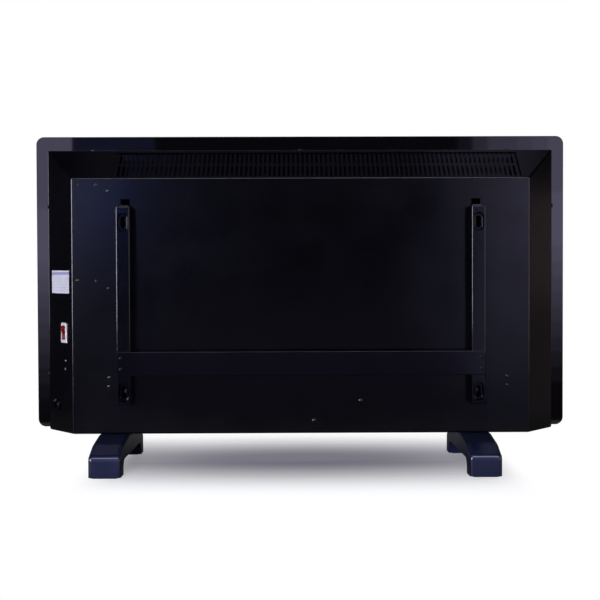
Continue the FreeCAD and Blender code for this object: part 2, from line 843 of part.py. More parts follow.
# Air grilles
def make_top_grille():
    """The slotted outlet plate, behind the opening in the leaning top wall."""
    at = ("-vent_offset", "rim_depth - glass_back", "case_bottom + case_height")
    grille = new_body("top_grille", at, ACROSS, "-top_angle")
    lap = "vent_margin + grille_lap"
    outline = (f"-vent_length / 2 - {lap}", f"vent_length / 2 + {lap}",
               f"vent_from_rim - {lap}", f"vent_from_rim + vent_depth + {lap}")
    plate = rectangle_sketch(grille, "plate", "XY", outline, "-case_sheet")
    pad(grille, plate, "grille_sheet", reverse=True)
    slots = new_sketch(grille, "slots", "XY")
    first = "-(slot_count - 1) * slot_pitch / 2"
    for start in ("vent_from_rim", "(vent_from_rim + slot_length + slot_bar)"):
        draw_rectangle(slots, f"{first} - slot_width / 2", f"{first} + slot_width / 2", start,
                       f"{start} + slot_length")
    pattern(grille, pocket(grille, slots, "case_sheet + grille_sheet + cut_over"), "X", "slot_count",
            "(slot_count - 1) * slot_pitch")
    return grille


def make_bottom_grille():
    """The slotted inlet plate, on the bottom wall between the feet."""
    at = ("foot_offset", "inlet_middle - glass_back", "case_bottom + case_sheet")
    grille = new_body("bottom_grille", at)
    half = "inlet_slot_length / 2 + vent_margin + grille_lap"
    outline = ("-inlet_length / 2 - grille_lap", "inlet_length / 2 + grille_lap", f"-({half})", half)
    pad(grille, rectangle_sketch(grille, "plate", "XY", outline), "grille_sheet")
    first = "-(inlet_count - 1) * inlet_pitch / 2"
    opening = (f"{first} - inlet_slot_width / 2", f"{first} + inlet_slot_width / 2",
               "-inlet_slot_length / 2", "inlet_slot_length / 2")
    slot = rectangle_sketch(grille, "slot", "XY", opening, "grille_sheet")
    pattern(grille, pocket(grille, slot, "grille_sheet + cut_over"), "X", "inlet_count",
            "(inlet_count - 1) * inlet_pitch")
    return grille


# Feet
def make_foot(label, side):
    """A moulded foot: an arched bridge with two toes, hollow and ribbed underneath."""
    foot = new_body(label, (f"foot_offset + {side} * foot_spacing / 2", "0", "0"))
    saddle = "glass_back"
    profile = new_sketch(foot, "profile", "YZ")
    draw_outline(profile, [
        ("-foot_length / 2", "pad_show"), ("-foot_inner_length", "pad_show"),
        ("-foot_inner_length", "foot_arch"), ("foot_inner_length", "foot_arch"),
        ("foot_inner_length", "pad_show"), ("foot_length / 2", "pad_show"),
        ("foot_length / 2", "foot_end"), ("foot_knee", "foot_knee_top"), (saddle, "foot_top"),
        (f"-{saddle}", "foot_top"), ("-foot_knee", "foot_knee_top"), ("-foot_length / 2", "foot_end")])
    pad(foot, profile, "foot_width", symmetric=True)
    half = value("foot_length / 2")
    inner = value("foot_inner_length")
    dress(foot, "Fillet", "foot_end_round", lambda edge: runs_along(edge, ACROSS)
          and abs(abs(edge.CenterOfMass.y) - half) < 1e-4 and edge.CenterOfMass.z > value("foot_end") - 1e-4)
    dress(foot, "Fillet", "foot_knee_round", lambda edge: runs_along(edge, ACROSS)
          and lies_at(edge, UPWARD, value("foot_knee_top")))
    dress(foot, "Fillet", "foot_side_round",
          lambda edge: abs(abs(edge.CenterOfMass.x) - value("foot_width / 2")) < 1e-4
          and (abs(edge.CenterOfMass.y) > half - value("foot_end_round / 2")
               or edge.CenterOfMass.z > value("foot_end"))
          and not lies_at(edge, UPWARD, value("pad_show")))
    dress(foot, "Fillet", "foot_arch_round", lambda edge: runs_along(edge, ACROSS)
          and abs(abs(edge.CenterOfMass.y) - inner) < 1e-4
          and abs(edge.CenterOfMass.z - value("foot_arch")) < 1e-4)
    hollow_foot(foot, saddle)
    cut_pad_recesses(foot)
    return foot


def hollow_foot(foot, saddle):
    """Takes out the underside, leaving the skin, two cross ribs and two screw bosses."""
    slope = "((foot_top - foot_end) / (foot_length / 2 - glass_back))"
    below = "foot_arch - cut_over"
    rib = f"{FOOT_RIB_SHARE} * foot_length"
    near, far = f"({rib} - foot_rib / 2)", f"({rib} + foot_rib / 2)"
    end = "(foot_inner_length - foot_arch_round - foot_wall)"
    near_roof, far_roof, end_roof = (f"foot_top - {slope} * ({at} - glass_back) - foot_wall"
                                     for at in (near, far, end))
    hollow = new_sketch(foot, "hollow", "YZ")
    draw_outline(hollow, [(f"-{near}", below), (near, below), (near, near_roof),
                          (saddle, "foot_top - foot_wall"), (f"-{saddle}", "foot_top - foot_wall"),
                          (f"-{near}", near_roof)])
    for sign in "-+":
        draw_outline(hollow, [(f"{sign} {far}", below), (f"{sign} {end}", below),
                              (f"{sign} {end}", end_roof), (f"{sign} {far}", far_roof)])
    pocket(foot, hollow, "foot_width - 2 * foot_wall", symmetric=True)
    bosses = new_sketch(foot, "bosses", "XY", "foot_arch")
    holes = new_sketch(foot, "boss_holes", "XY", "foot_arch - cut_over")
    sinks = new_sketch(foot, "head_sinks", "XY", "foot_arch - cut_over")
    for row in (-1, 1):
        y = f"foot_screw_back + {row} * foot_screw_spacing / 2"
        draw_circle(bosses, "0", y, "foot_boss")
        draw_circle(holes, "0", y, "foot_screw_radius + hole_play")
        draw_circle(sinks, "0", y, "foot_screw_head + hole_play")
    pad(foot, bosses, "foot_top - foot_arch - foot_wall / 2")
    pocket(foot, holes, "foot_top - foot_arch + 2 * cut_over", reverse=True)
    pocket(foot, sinks, "foot_screw_head_height + cut_over", reverse=True)


def cut_pad_recesses(foot):
    recess = new_sketch(foot, "pad_recess", "XY", "pad_show - cut_over")
    for sign in "-+":
        draw_rectangle(recess, "-foot_width / 2 + foot_side_round", "foot_width / 2 - foot_side_round",
                       f"{sign} (foot_length / 2 - pad_rim)", f"{sign} (foot_inner_length + pad_rim)")
    pocket(foot, recess, "pad_thick - pad_show + cut_over", reverse=True)


def make_foot_pads():
    """Four rubber pads, let into the toes."""
    pads = []
    for side in (-1, 1):
        for row in (-1, 1):
            middle = f"{row} * (foot_inner_length + foot_length / 2) / 2"
            length = "(foot_toe - 2 * pad_rim)"
            width = "(foot_width - 2 * foot_side_round)"
            corner = (f"foot_offset + {side} * foot_spacing / 2 - {width} / 2",
                      f"{middle} - {length} / 2", "0")
            pads.append(new_box(f"pad_{len(pads)}", corner, (width, length, "pad_thick")))
    return gathered("foot_pads", pads)


def gathered(label, items):
    """One node that holds several separate solids."""
    item = document.addObject("Part::Compound", label)
    item.Label = label
    item.Links = items
    return item


def make_foot_plates():
    """Threaded plates inside the case that the foot screws pull up against."""
    plates = []
    for side in (-1, 1):
        middle = f"foot_offset + {side} * foot_spacing / 2"
        corner = (f"{middle} - foot_plate_width / 2", "foot_screw_back - foot_plate_length / 2",
                  "case_bottom + case_sheet")
        plate = new_box(f"plate_{side + 1}", corner,
                        ("foot_plate_width", "foot_plate_length", "foot_plate_thick"))
        holes = []
        for row in (-1, 1):
            at = (middle, f"foot_screw_back + {row} * foot_screw_spacing / 2", "case_bottom")
            holes.append(new_cylinder(f"plate_hole_{side + 1}_{row + 1}", at,
                                      "foot_screw_radius + pin_play", "foot_plate_thick + cut_over"))
        plates.append(cut(f"foot_plate_{side + 1}", plate, holes))
    return gathered("foot_plates", plates)


def make_foot_screws():
    head = value("foot_arch + foot_screw_head_height")
    length = value("case_bottom + case_sheet + foot_plate_thick") - head
    solid = screw(value("foot_screw_radius"), length, value("foot_screw_head"),
                  value("foot_screw_head_height"))
    places = [(Vector(value(f"foot_offset + {side} * foot_spacing / 2"),
                      value(f"foot_screw_back + {row} * foot_screw_spacing / 2"), head), -UPWARD)
              for side in (-1, 1) for row in (-1, 1)]
    return group("foot_screws", solid, places)


# Wall bracket
def make_upright(label, side):
    """A channel with closed ends, dished wall slots, a hook slot and a notched lip for the lock screw."""
    upright = new_body(label, (f"{side} * bracket_spacing / 2", "wall_face", "upright_bottom"))
    outside = ("-upright_width / 2", "upright_width / 2", "0", "upright_height")
    pad(upright, rectangle_sketch(upright, "web", "XZ", outside), "upright_depth")
    dress(upright, "Fillet", "bracket_bend", lambda edge: lies_at(edge, BACKWARD, 0))
    inside = ("-channel_half", "channel_half", "bracket_sheet", "upright_height - bracket_sheet")
    hollow = rectangle_sketch(upright, "hollow", "XZ", inside, "bracket_sheet")
    pocket(upright, hollow, "upright_depth + cut_over", reverse=True)
    tip = ("0", f"{side} * (upright_width / 2 + ear_width)", "-bracket_bend - ear_depth", "-bracket_bend")
    ear = rectangle_sketch(upright, "ear", "XY", tip, "upright_height - bracket_sheet")
    pad(upright, ear, "bracket_sheet")
    for number, level in enumerate(("wall_slot_low", "(wall_slot_low + wall_slot_spacing)")):
        boss = new_sketch(upright, f"dish_{number}", "XZ")
        draw_upright_slot(boss, level, "(dish_width + 2 * bracket_sheet)",
                          "(dish_height + 2 * bracket_sheet)")
        pad(upright, boss, "dish_depth + bracket_sheet", taper="-dish_taper")
        bowl = new_sketch(upright, f"bowl_{number}", "XZ")
        draw_upright_slot(bowl, level, "dish_width", "dish_height")
        pocket(upright, bowl, "dish_depth", reverse=True, taper="-dish_taper")
        slot = new_sketch(upright, f"slot_{number}", "XZ")
        draw_upright_slot(slot, level, "wall_slot_width", "wall_slot_length")
        pocket(upright, slot, "dish_depth + cut_over", reverse=True)
    nose = "-bracket_stand + hook_reach - hook_thick / 2"
    opening = ("-hook_width / 2 - hook_play", "hook_width / 2 + hook_play",
               f"{nose} - hook_thick / 2 - hook_play", f"{nose} + hook_thick / 2 + hook_play")
    hook_slot = rectangle_sketch(upright, "hook_slot", "XY", opening, "upright_height")
    pocket(upright, hook_slot, "bracket_sheet + cut_over")
    lip = new_sketch(upright, "lip", "XZ", "upright_depth")
    edge = "(channel_half - hook_play / 2)"
    notch = "(lock_radius + hook_play / 2)"
    floor = "wall_slot_low - lock_radius - hook_play / 2"
    top = "wall_slot_low + lip_above"
    draw_outline(lip, [(f"-{edge}", "0"), (edge, "0"), (edge, top), (notch, top), (notch, floor),
                       (f"-{notch}", floor), (f"-{notch}", top), (f"-{edge}", top)])
    pad(upright, lip, "bracket_sheet", reverse=True)
    holes = new_sketch(upright, "rivet_holes", "XZ")
    for row in (-1, 1):
        draw_circle(holes, f"{side} * bar_rivet_out",
                    f"bar_low + bar_height / 2 + {row} * bar_rivet_pitch / 2",
                    "rivet_radius + pin_play")
    pocket(upright, holes, "bracket_sheet", reverse=True)
    return upright


def make_cross_bar():
    """The flat bar that ties the uprights, on their wall side, with two folded edges between them."""
    bar = new_body("cross_bar", ("0", "wall_face", "bar_middle"))
    half = "(bracket_spacing / 2 + upright_width / 2 - bar_inset)"
    plate = rectangle_sketch(bar, "plate", "XZ", (f"-{half}", half, "-bar_height / 2", "bar_height / 2"))
    pad(bar, plate, "bracket_sheet", reverse=True)
    edges = new_sketch(bar, "edges", "XZ")
    short = "(bracket_spacing / 2 - upright_width / 2 - hook_play)"
    for sign in "-+":
        draw_rectangle(edges, f"-{short}", short, f"{sign} (bar_height / 2 - bracket_sheet)",
                       f"{sign} bar_height / 2")
    pad(bar, edges, "bar_flange")
    dress(bar, "Fillet", f"{FOLD_SHARE} * bracket_sheet", lambda edge: runs_along(edge, ACROSS)
          and lies_at(edge, BACKWARD, value("bracket_sheet")))
    holes = new_sketch(bar, "rivet_holes", "XZ", "-bracket_sheet")
    for side in (-1, 1):
        for row in (-1, 1):
            draw_circle(holes, f"{side} * (bracket_spacing / 2 + bar_rivet_out)",
                        f"{row} * bar_rivet_pitch / 2", "rivet_radius + pin_play")
    pocket(bar, holes, "bracket_sheet + cut_over", reverse=True)
    return bar


def make_bracket_rivets():
    solid = dome_rivet(2 * value("bracket_sheet"))
    places = [(Vector(side * value("bracket_spacing / 2 + bar_rivet_out"),
                      value("wall_face + bracket_sheet"),
                      value("bar_middle") + row * value("bar_rivet_pitch") / 2), BACKWARD)
              for side in (-1, 1) for row in (-1, 1)]
    return group("bracket_rivets", solid, places)


def make_lock_screws():
    """Two screws in the back panel that hold the bracket's lower lips."""
    stand = "(2 * seat_gap + bracket_sheet)"
    length = value(f"{stand} + case_sheet + lock_length")
    solid = screw(value("lock_radius"), length, value("lock_head"), value("lock_head_height"))
    places = [(Vector(side * value("bracket_spacing") / 2, value(f"case_depth - glass_back + {stand}"),
                      value("upright_bottom + wall_slot_low")), BACKWARD) for side in (-1, 1)]
    return group("lock_screws", solid, places)


def make_hook(label, side):
    """A steel hook riveted inside the back panel, with its nose in the slot of an upright's top."""
    hook = new_body(label, (f"{side} * bracket_spacing / 2", "panel_inside - glass_back", "hook_level"))
    profile = new_sketch(hook, "profile", "YZ")
    reach = "(case_sheet + hook_reach)"
    draw_outline(profile, [
        ("-hook_thick", "hook_thick"), ("-hook_thick", "hook_thick - hook_base"),
        ("0", "hook_thick - hook_base"), ("0", "0"), (f"{reach} - hook_thick", "0"),
        (f"{reach} - hook_thick", "-hook_nose"), (reach, "-hook_nose"), (reach, "hook_thick")])
    pad(hook, profile, "hook_width", symmetric=True)
    dress(hook, "Fillet", f"{FOLD_SHARE} * hook_thick", lambda edge: runs_along(edge, ACROSS)
          and abs(edge.CenterOfMass.z - value("hook_thick")) < 1e-4)
    holes = new_sketch(hook, "holes", "XZ", "hook_thick")
    for row in (0, 1):
        draw_circle(holes, "0", f"hook_thick - hook_base + hook_rivet_pitch / 2 + {row} * hook_rivet_pitch",
                    "rivet_radius + hole_play")
    pocket(hook, holes, "hook_thick")
    return hook


# Mains switch
def make_switch_body():
    """The switch's housing: a white bezel outside the wall and the body behind it."""
    housing = side_wall_body("switch_body", "switch_along", "switch_height")
    bezel = rectangle_sketch(housing, "bezel", "YZ", centred("bezel_width", "bezel_height"))
    pad(housing, bezel, "bezel_thick")
    dress(housing, "Fillet", "bezel_round", lambda edge: runs_along(edge, ACROSS))
    dress(housing, "Chamfer", f"{BEZEL_EASE_SHARE} * bezel_thick",
          lambda edge: lies_at(edge, ACROSS, value("bezel_thick")))
    block = rectangle_sketch(housing, "block", "YZ", centred("switch_body_width", "switch_body_height"))
    pad(housing, block, "switch_body_depth", reverse=True)
    bore = rectangle_sketch(housing, "bore", "YZ", centred("bore_width", "bore_height"), "bezel_thick")
    pocket(housing, bore, "rocker_bore_depth")
    pivots = new_sketch(housing, "pivots", "XZ")
    draw_circle(pivots, "-pivot_depth", "0", "pivot_radius + pin_play")
    pocket(housing, pivots, "bore_width + 2 * pivot_length + 2 * pin_play", symmetric=True)
    return housing


def make_power_rocker():
    """The rocker on its two pivot stubs, resting with its upper half out."""
    rocker = side_wall_body("power_rocker", "switch_along", "switch_height")
    drum = new_sketch(rocker, "drum", "XZ")
    draw_circle(drum, "-pivot_depth", "0", "rocker_reach")
    pad(rocker, drum, "rocker_width", symmetric=True)
    trim = new_sketch(rocker, "trim", "XZ")
    tilt_sketch(trim, ("-pivot_depth", "0", "0"), UPWARD, "-rocker_tilt")
    far = "(rocker_reach + cut_over)"
    draw_outline(trim, [("rocker_dip", "0"), ("rocker_crown", "rocker_reach"), ("rocker_crown", far),
                        (far, far), (far, f"-{far}"), ("rocker_crown", f"-{far}"),
                        ("rocker_crown", "-rocker_reach")])
    draw_rectangle(trim, f"-{far}", "-rocker_root", f"-{far}", far)
    pocket(rocker, trim)
    stubs = new_sketch(rocker, "stubs", "XZ")
    draw_circle(stubs, "-pivot_depth", "0", "pivot_radius")
    pad(rocker, stubs, "bore_width + 2 * pivot_length", symmetric=True)
    return rocker


def make_switch_tabs():
    """Spade terminals on the back of the switch."""
    tabs = side_wall_body("switch_tabs", "switch_along", "switch_height")
    tabs.AllowCompound = True
    sketch = new_sketch(tabs, "tabs", "YZ", "-switch_body_depth")
    for row in (-1, 0, 1):
        draw_rectangle(sketch, "-tab_width / 2", "tab_width / 2", f"{row} * tab_pitch - tab_thick / 2",
                       f"{row} * tab_pitch + tab_thick / 2")
    pad(tabs, sketch, "tab_length", reverse=True)
    return tabs


# Cord gland and terminal block
def make_cord_gland():
    """A screwed gland for the mains cord, low on the +X wall, with its nut inside."""
    gland = side_wall_body("cord_gland", "gland_along", "gland_height")
    section = new_sketch(gland, "section", "XZ")
    draw_outline(section, [
        ("gland_flange_thick", "gland_bore"), ("gland_flange_thick", f"{GLAND_LIP_SHARE} * gland_flange"),
        ("gland_flange_thick / 2", "gland_flange"), ("0", "gland_flange"), ("0", "gland_barrel"),
        ("-case_sheet", "gland_barrel"), ("-case_sheet", "gland_nut"),
        ("-case_sheet - gland_nut_thick", "gland_nut"), ("-case_sheet - gland_nut_thick", "gland_barrel"),
        ("-gland_inside", "gland_barrel"), ("-gland_inside", "gland_bore")])
    turn = gland.newObject("PartDesign::Revolution", "cord_gland_turn")
    turn.Profile = section
    turn.ReferenceAxis = (section, ["H_Axis"])
    document.recompute()
    return gland


def make_terminal_block():
    """The mains terminal block, riveted inside the +X wall."""
    block = side_wall_body("terminal_block", "terminal_along", "terminal_height")
    outline = centred("terminal_width", "terminal_length")
    plan = rectangle_sketch(block, "outline", "YZ", outline, "-case_sheet")
    pad(block, plan, "terminal_depth", reverse=True)
    bores = new_sketch(block, "bores", "XZ")
    for row in (-1, 0, 1):
        draw_circle(bores, f"-case_sheet - {TERMINAL_BORE_SHARE} * terminal_depth",
                    f"{row} * terminal_pitch", "terminal_bore")
    pocket(block, bores)
    rivets = new_sketch(block, "rivet_holes", "YZ")
    for row in (-1, 1):
        draw_circle(rivets, "0", f"{row} * terminal_rivet_pitch / 2",
                    f"{RIVET_TAIL_SHARE} * rivet_radius + hole_play")
    pocket(block, rivets, "case_sheet + rivet_tail + seat_gap + rivet_radius")
    return block


# Heating element
def make_heating_element():
    """An extruded aluminium element: a bored hub with four finned arms."""
    at = ("-element_offset - element_length / 2", "element_y", "element_z")
    element = new_body("heating_element", at)
    hub = new_sketch(element, "hub", "YZ")
    draw_circle(hub, "0", "0", "element_hub")
    pad(element, hub, "element_length")
    for number in range(2):
        turn = f"45 + 90 * {number}"
        arm = new_sketch(element, f"arm_{number}", "YZ")
        tilt_sketch(arm, ("0", "0", "0"), UPWARD, turn)
        draw_rectangle(arm, "-element_arm", "element_arm", "-element_fin / 2", "element_fin / 2")
        pad(element, arm, "element_length")
        for place_number, share in enumerate(FIN_PLACE_SHARES):
            fins = new_sketch(element, f"fins_{number}_{place_number}", "YZ")
            tilt_sketch(fins, ("0", "0", "0"), UPWARD, turn)
            for sign in "-+":
                middle = f"{sign} {share} * (element_arm - element_fin / 2)"
                draw_rectangle(fins, f"{middle} - element_fin / 2", f"{middle} + element_fin / 2",
                               "-element_cross_fin / 2", "element_cross_fin / 2")
            pad(element, fins, "element_length")
    bore = new_sketch(element, "bore", "YZ")
    draw_circle(bore, "0", "0", "rod_radius + pin_play")
    pocket(element, bore)
    return element


def make_element_rod():
    """The sheathed heating rod in the element's bore, with a terminal stud at each end."""
    turn = {"axis": BACKWARD, "angle": "90"}
    start = "-element_offset - element_length / 2 - rod_stub"
    rod = new_cylinder("rod_sheath", (start, "element_y", "element_z"), "rod_radius",
                       "element_length + 2 * rod_stub", **turn)
    studs = new_cylinder("rod_studs", (f"{start} - terminal_stud_length", "element_y", "element_z"),
                         "terminal_stud_radius",
                         "element_length + 2 * rod_stub + 2 * terminal_stud_length", **turn)
    return joined("element_rod", [rod, studs])


def make_element_bush(label, side):
    """A ceramic bush that carries one end of the rod in its bracket."""
    bush = new_body(label, (f"-element_offset + {side} * element_bracket_at", "element_y", "element_z"))
    section = new_sketch(bush, "section", "XZ")
    far = "(element_bracket_sheet + bush_flange_thick)"
    draw_outline(section, [
        ("0", "rod_radius + pin_play"), (f"{side} * {far}", "rod_radius + pin_play"),
        (f"{side} * {far}", "bush_flange"), (f"{side} * element_bracket_sheet", "bush_flange"),
        (f"{side} * element_bracket_sheet", "bush_radius"), ("0", "bush_radius")])
    turn = bush.newObject("PartDesign::Revolution", f"{label}_turn")
    turn.Profile = section
    turn.ReferenceAxis = (section, ["H_Axis"])
    document.recompute()
    return bush


def make_element_bracket(label, side):
    """A steel angle on the back panel that holds one end of the element."""
    at = (f"-element_offset + {side} * element_bracket_at", "panel_inside - glass_back", "element_z")
    bracket = new_body(label, at)
    reach = "(case_depth - case_sheet - element_forward + element_bracket_width / 2)"
    angle = new_sketch(bracket, "angle", "XY", "-element_bracket_above")
    out = f"{side} * (element_bracket_sheet + element_bracket_foot)"
    thick = f"{side} * element_bracket_sheet"
    draw_outline(angle, [("0", "0"), (out, "0"), (out, "-element_bracket_sheet"),
                         (thick, "-element_bracket_sheet"), (thick, f"-{reach}"), ("0", f"-{reach}")])
    pad(bracket, angle, "2 * element_bracket_above")
    seat = new_sketch(bracket, "seat", "YZ")
    draw_circle(seat, "-(case_depth - case_sheet - element_forward)", "0", "bush_radius + pin_play")
    pocket(bracket, seat)
    rivets = new_sketch(bracket, "rivets", "XZ")
    for row in (-1, 1):
        draw_circle(rivets, f"{side} * (element_bracket_sheet + element_rivet_out)",
                    f"{row} * element_rivet_pitch / 2", "rivet_radius + hole_play")
    pocket(bracket, rivets, "element_bracket_sheet", reverse=True)
    return bracket


def make_heat_shield():
    """A bright sheet tray between the element and the chassis."""
    shield = new_body("heat_shield", ("-element_offset", "chassis_back - glass_back", "element_z"))
    outside = ("-shield_length / 2", "shield_length / 2", "-shield_below", "shield_above")
    pad(shield, rectangle_sketch(shield, "plate", "XZ", outside), "shield_depth", reverse=True)
    inside = ("-shield_length / 2 - cut_over", "shield_length / 2 + cut_over",
              "-shield_below + shield_sheet", "shield_above - shield_sheet")
    pocket(shield, rectangle_sketch(shield, "hollow", "XZ", inside), "shield_depth - shield_sheet")
    return shield


def make_thermal_cutout():
    """The disc thermostat on the shield, above the element."""
    at = (f"-element_offset + {CUTOUT_PLACE_SHARE} * shield_length", "shield_back - glass_back",
          "element_z + cutout_above")
    turn = {"axis": ACROSS, "angle": "-90"}
    flange = new_cylinder("cutout_flange_disc", at, "cutout_flange", "cutout_flange_thick", **turn)
    can = new_cylinder("cutout_can_disc", at, "cutout_can", "cutout_depth", **turn)
    tabs = []
    for row in (-1, 1):
        corner = (f"{at[0]} + {row} * cutout_can / 2 - tab_width / 2", f"{at[1]} + cutout_depth",
                  f"{at[2]} - tab_thick / 2")
        tabs.append(new_box(f"cutout_tab_{row + 1}", corner, ("tab_width", "tab_length", "tab_thick")))
    return joined("thermal_cutout", [flange, can, *tabs])


# Controls
def make_control_box():
    """An open plastic box on a riveted flange, for the power board."""
    at = ("box_middle", "panel_inside - glass_back", "case_bottom + box_height_middle")
    box = new_body("control_box", at)
    flange = rectangle_sketch(box, "flange", "XZ", centred("box_flange_width", "box_flange_height"))
    pad(box, flange, "box_wall")
    outside = centred("box_width", "box_height")
    pad(box, rectangle_sketch(box, "sides", "XZ", outside), "box_depth")
    inside = [f"{side} {sign} box_wall" for side, sign in zip(outside, "+-+-")]
    pocket(box, rectangle_sketch(box, "hollow", "XZ", inside, "box_wall"), "box_depth", reverse=True)
    rivets = new_sketch(box, "rivets", "XZ")
    for across, up in BOX_RIVET_SHARES:
        draw_circle(rivets, f"{across} * box_flange_width / 2", f"{up} * box_flange_height / 2",
                    "rivet_radius + hole_play")
    pocket(box, rivets, "box_wall", reverse=True)
    return box


def make_control_lid():
    at = ("box_middle - box_width / 2", "panel_inside - glass_back - box_depth - box_wall",
          "case_bottom + box_height_middle - box_height / 2")
    lid = new_box("lid_plate", at, ("box_width", "box_wall", "box_height"))
    inward = ("+ box_wall + seat_gap", "", "+ box_wall + seat_gap")
    lip = new_box("lid_lip", [f"{text} {extra}" for text, extra in zip(at, inward)],
                  ("box_width - 2 * box_wall - 2 * seat_gap", "2 * box_wall",
                   "box_height - 2 * box_wall - 2 * seat_gap"))
    return joined("control_lid", [lid, lip])


def make_power_board():
    """The power board on four posts inside the control box."""
    width = "(box_width - 2 * box_wall - 2 * board_margin)"
    height = "(box_height - 2 * box_wall - 2 * board_margin)"
    back = "panel_inside - glass_back - box_wall"
    middle = "case_bottom + box_height_middle"
    corner = (f"box_middle - {width} / 2", f"{back} - board_stand - board_thick", f"{middle} - {height} / 2")
    board = new_box("board_sheet", corner, (width, "board_thick", height))
    posts = []
    for column in (-1, 1):
        for row in (-1, 1):
            at = (f"box_middle + {column} * ({width} - board_stand) / 2 - board_stand / 2",
                  f"{back} - board_stand",
                  f"{middle} + {row} * ({height} - board_stand) / 2 - board_stand / 2")
            posts.append(new_box(f"board_post_{len(posts)}", at, ["board_stand"] * 3))
    return joined("power_board", [board, *posts])


def make_board_parts():
    """The relay and the choke on the power board."""
    face = "panel_inside - glass_back - box_wall - board_stand - board_thick"
    middle = "case_bottom + box_height_middle"
    relay = new_box("relay", ("box_middle - relay_width / 2", f"{face} - relay_depth",
                              f"{middle} + {RELAY_PLACE_SHARE} * box_height / 2 - relay_height / 2"),
                    ("relay_width", "relay_depth", "relay_height"))
    at = ("box_middle", face, f"{middle} - {CHOKE_PLACE_SHARE} * box_height / 2")
    choke = new_cylinder("choke", at, "choke_radius", "choke_depth", ACROSS, "90")
    return gathered("board_parts", [relay, choke])


def make_tip_switch():
    """The tip-over switch on its riveted plate."""
    at = ("-tip_offset", "panel_inside - glass_back", "case_bottom + tip_height")
    tip = new_body("tip_switch", at)
    plate = rectangle_sketch(tip, "plate", "XZ", centred("tip_flange_width", "tip_flange_height"))
    pad(tip, plate, "tip_flange_thick")
    shell = rectangle_sketch(tip, "shell", "XZ", centred("tip_width", "tip_body_height"))
    pad(tip, shell, "tip_depth")
    dress(tip, "Fillet", "tip_flange_thick", lambda edge: lies_at(edge, BACKWARD, -value("tip_depth")))
    rivets = new_sketch(tip, "rivets", "XZ")
    for across, up in TIP_RIVET_SHARES:
        draw_circle(rivets, f"{across} * tip_flange_width / 2", f"{up} * tip_flange_height / 2",
                    "rivet_radius + hole_play")
    pocket(tip, rivets, "tip_flange_thick", reverse=True)
    return tip


def make_room_sensor():
    """The room air sensor in its clip, beside the inlet."""
    at = ("sensor_offset", "sensor_back - glass_back", "case_bottom + case_sheet")
    clip = new_box("sensor_post", (f"{at[0]} - sensor_clip / 2", f"{at[1]} - sensor_clip / 2", at[2]),
                   ("sensor_clip", "sensor_clip", "sensor_clip_height"))
    start = (f"{at[0]} - sensor_length / 2", at[1], f"{at[2]} + sensor_clip_height")
    bead = new_cylinder("sensor_bead", start, "sensor_radius", "sensor_length", BACKWARD, "90")
    return joined("room_sensor", [clip, bead])


# Display behind the glass
DISPLAY_BACK = "seat_gap + display_depth - glass_back"


def make_display_module():
    at = ("display_offset - display_width / 2", "seat_gap - glass_back",
          "case_bottom + display_height - display_tall / 2")
    module = new_box("display_module", at, ("display_width", "display_depth", "display_tall"))
    module.Label = "display_module"
    return module


def make_display_board():
    at = ("display_offset - display_board_width / 2", DISPLAY_BACK,
          "case_bottom + display_height - display_board_tall / 2")
    board = new_box("display_board", at, ("display_board_width", "board_thick", "display_board_tall"))
    board.Label = "display_board"
    return board


def make_display_spacers():
    """Four spacers that stand the display's board off the chassis."""
    spacers = []
    for column in (-1, 1):
        for row in (-1, 1):
            at = (f"display_offset + {column} * (display_board_width / 2 - display_spacer)",
                  "chassis_back - glass_back",
                  f"case_bottom + display_height + {row} * (display_board_tall / 2 - display_spacer)")
            spacers.append(new_cylinder(f"spacer_{column + 1}_{row + 1}", at, "display_spacer",
                                        "seat_gap + display_depth - chassis_back", ACROSS, "-90"))
    return gathered("display_spacers", spacers)


# Fastener groups in the case
def make_case_rivets():
    """The rivets in the back panel and in the leaning +X wall."""
    rivets = []
    for across, up, held in panel_rivets():
        rivet = dome_rivet(value(f"case_sheet + {held}"))
        at = point((across, "case_depth - glass_back", up))
        rivet.Placement = Placement(at, Rotation(UPWARD, BACKWARD))
        rivets.append(rivet)
    outward = Rotation(UPWARD, value("side_angle")).multVec(ACROSS)
    for row in (-1, 1):
        rivet = dome_rivet(value("case_sheet"))
        at = on_side_wall("terminal_along", f"terminal_height + {row} * terminal_rivet_pitch / 2")
        rivet.Placement = Placement(point(at), Rotation(UPWARD, outward))
        rivets.append(rivet)
    return as_node("case_rivets", rivets)


def make_rim_screws():
    solid = screw(value("rim_screw_radius"), value("rim_screw_length"), value("rim_screw_head"),
                  value("rim_screw_head_height"))
    return group("rim_screws", solid, rim_screw_places())


def make_all():
    """Every sub-part of the heater, in the order that it goes together."""
    return [
        make_front_glass(), make_glass_tape(), make_front_chassis(),
        make_display_module(), make_display_board(), make_display_spacers(),
        make_heat_shield(), make_thermal_cutout(), make_heating_element(), make_element_rod(),
        make_element_bush("element_bush_left", -1), make_element_bush("element_bush_right", 1),
        make_element_bracket("element_bracket_left", -1), make_element_bracket("element_bracket_right", 1),
        make_control_box(), make_control_lid(), make_power_board(), make_board_parts(),
        make_tip_switch(), make_room_sensor(), make_terminal_block(), make_cord_gland(),
        make_switch_body(), make_switch_tabs(), make_power_rocker(),
        make_rear_case(), make_top_grille(), make_bottom_grille(), make_case_rivets(), make_rim_screws(),
        make_foot("foot_left", -1), make_foot("foot_right", 1), make_foot_pads(), make_foot_plates(),
        make_foot_screws(),
        make_hook("hook_left", -1), make_hook("hook_right", 1), make_lock_screws(),
        make_upright("upright_left", -1), make_upright("upright_right", 1), make_cross_bar(),
        make_bracket_rivets(),
    ]


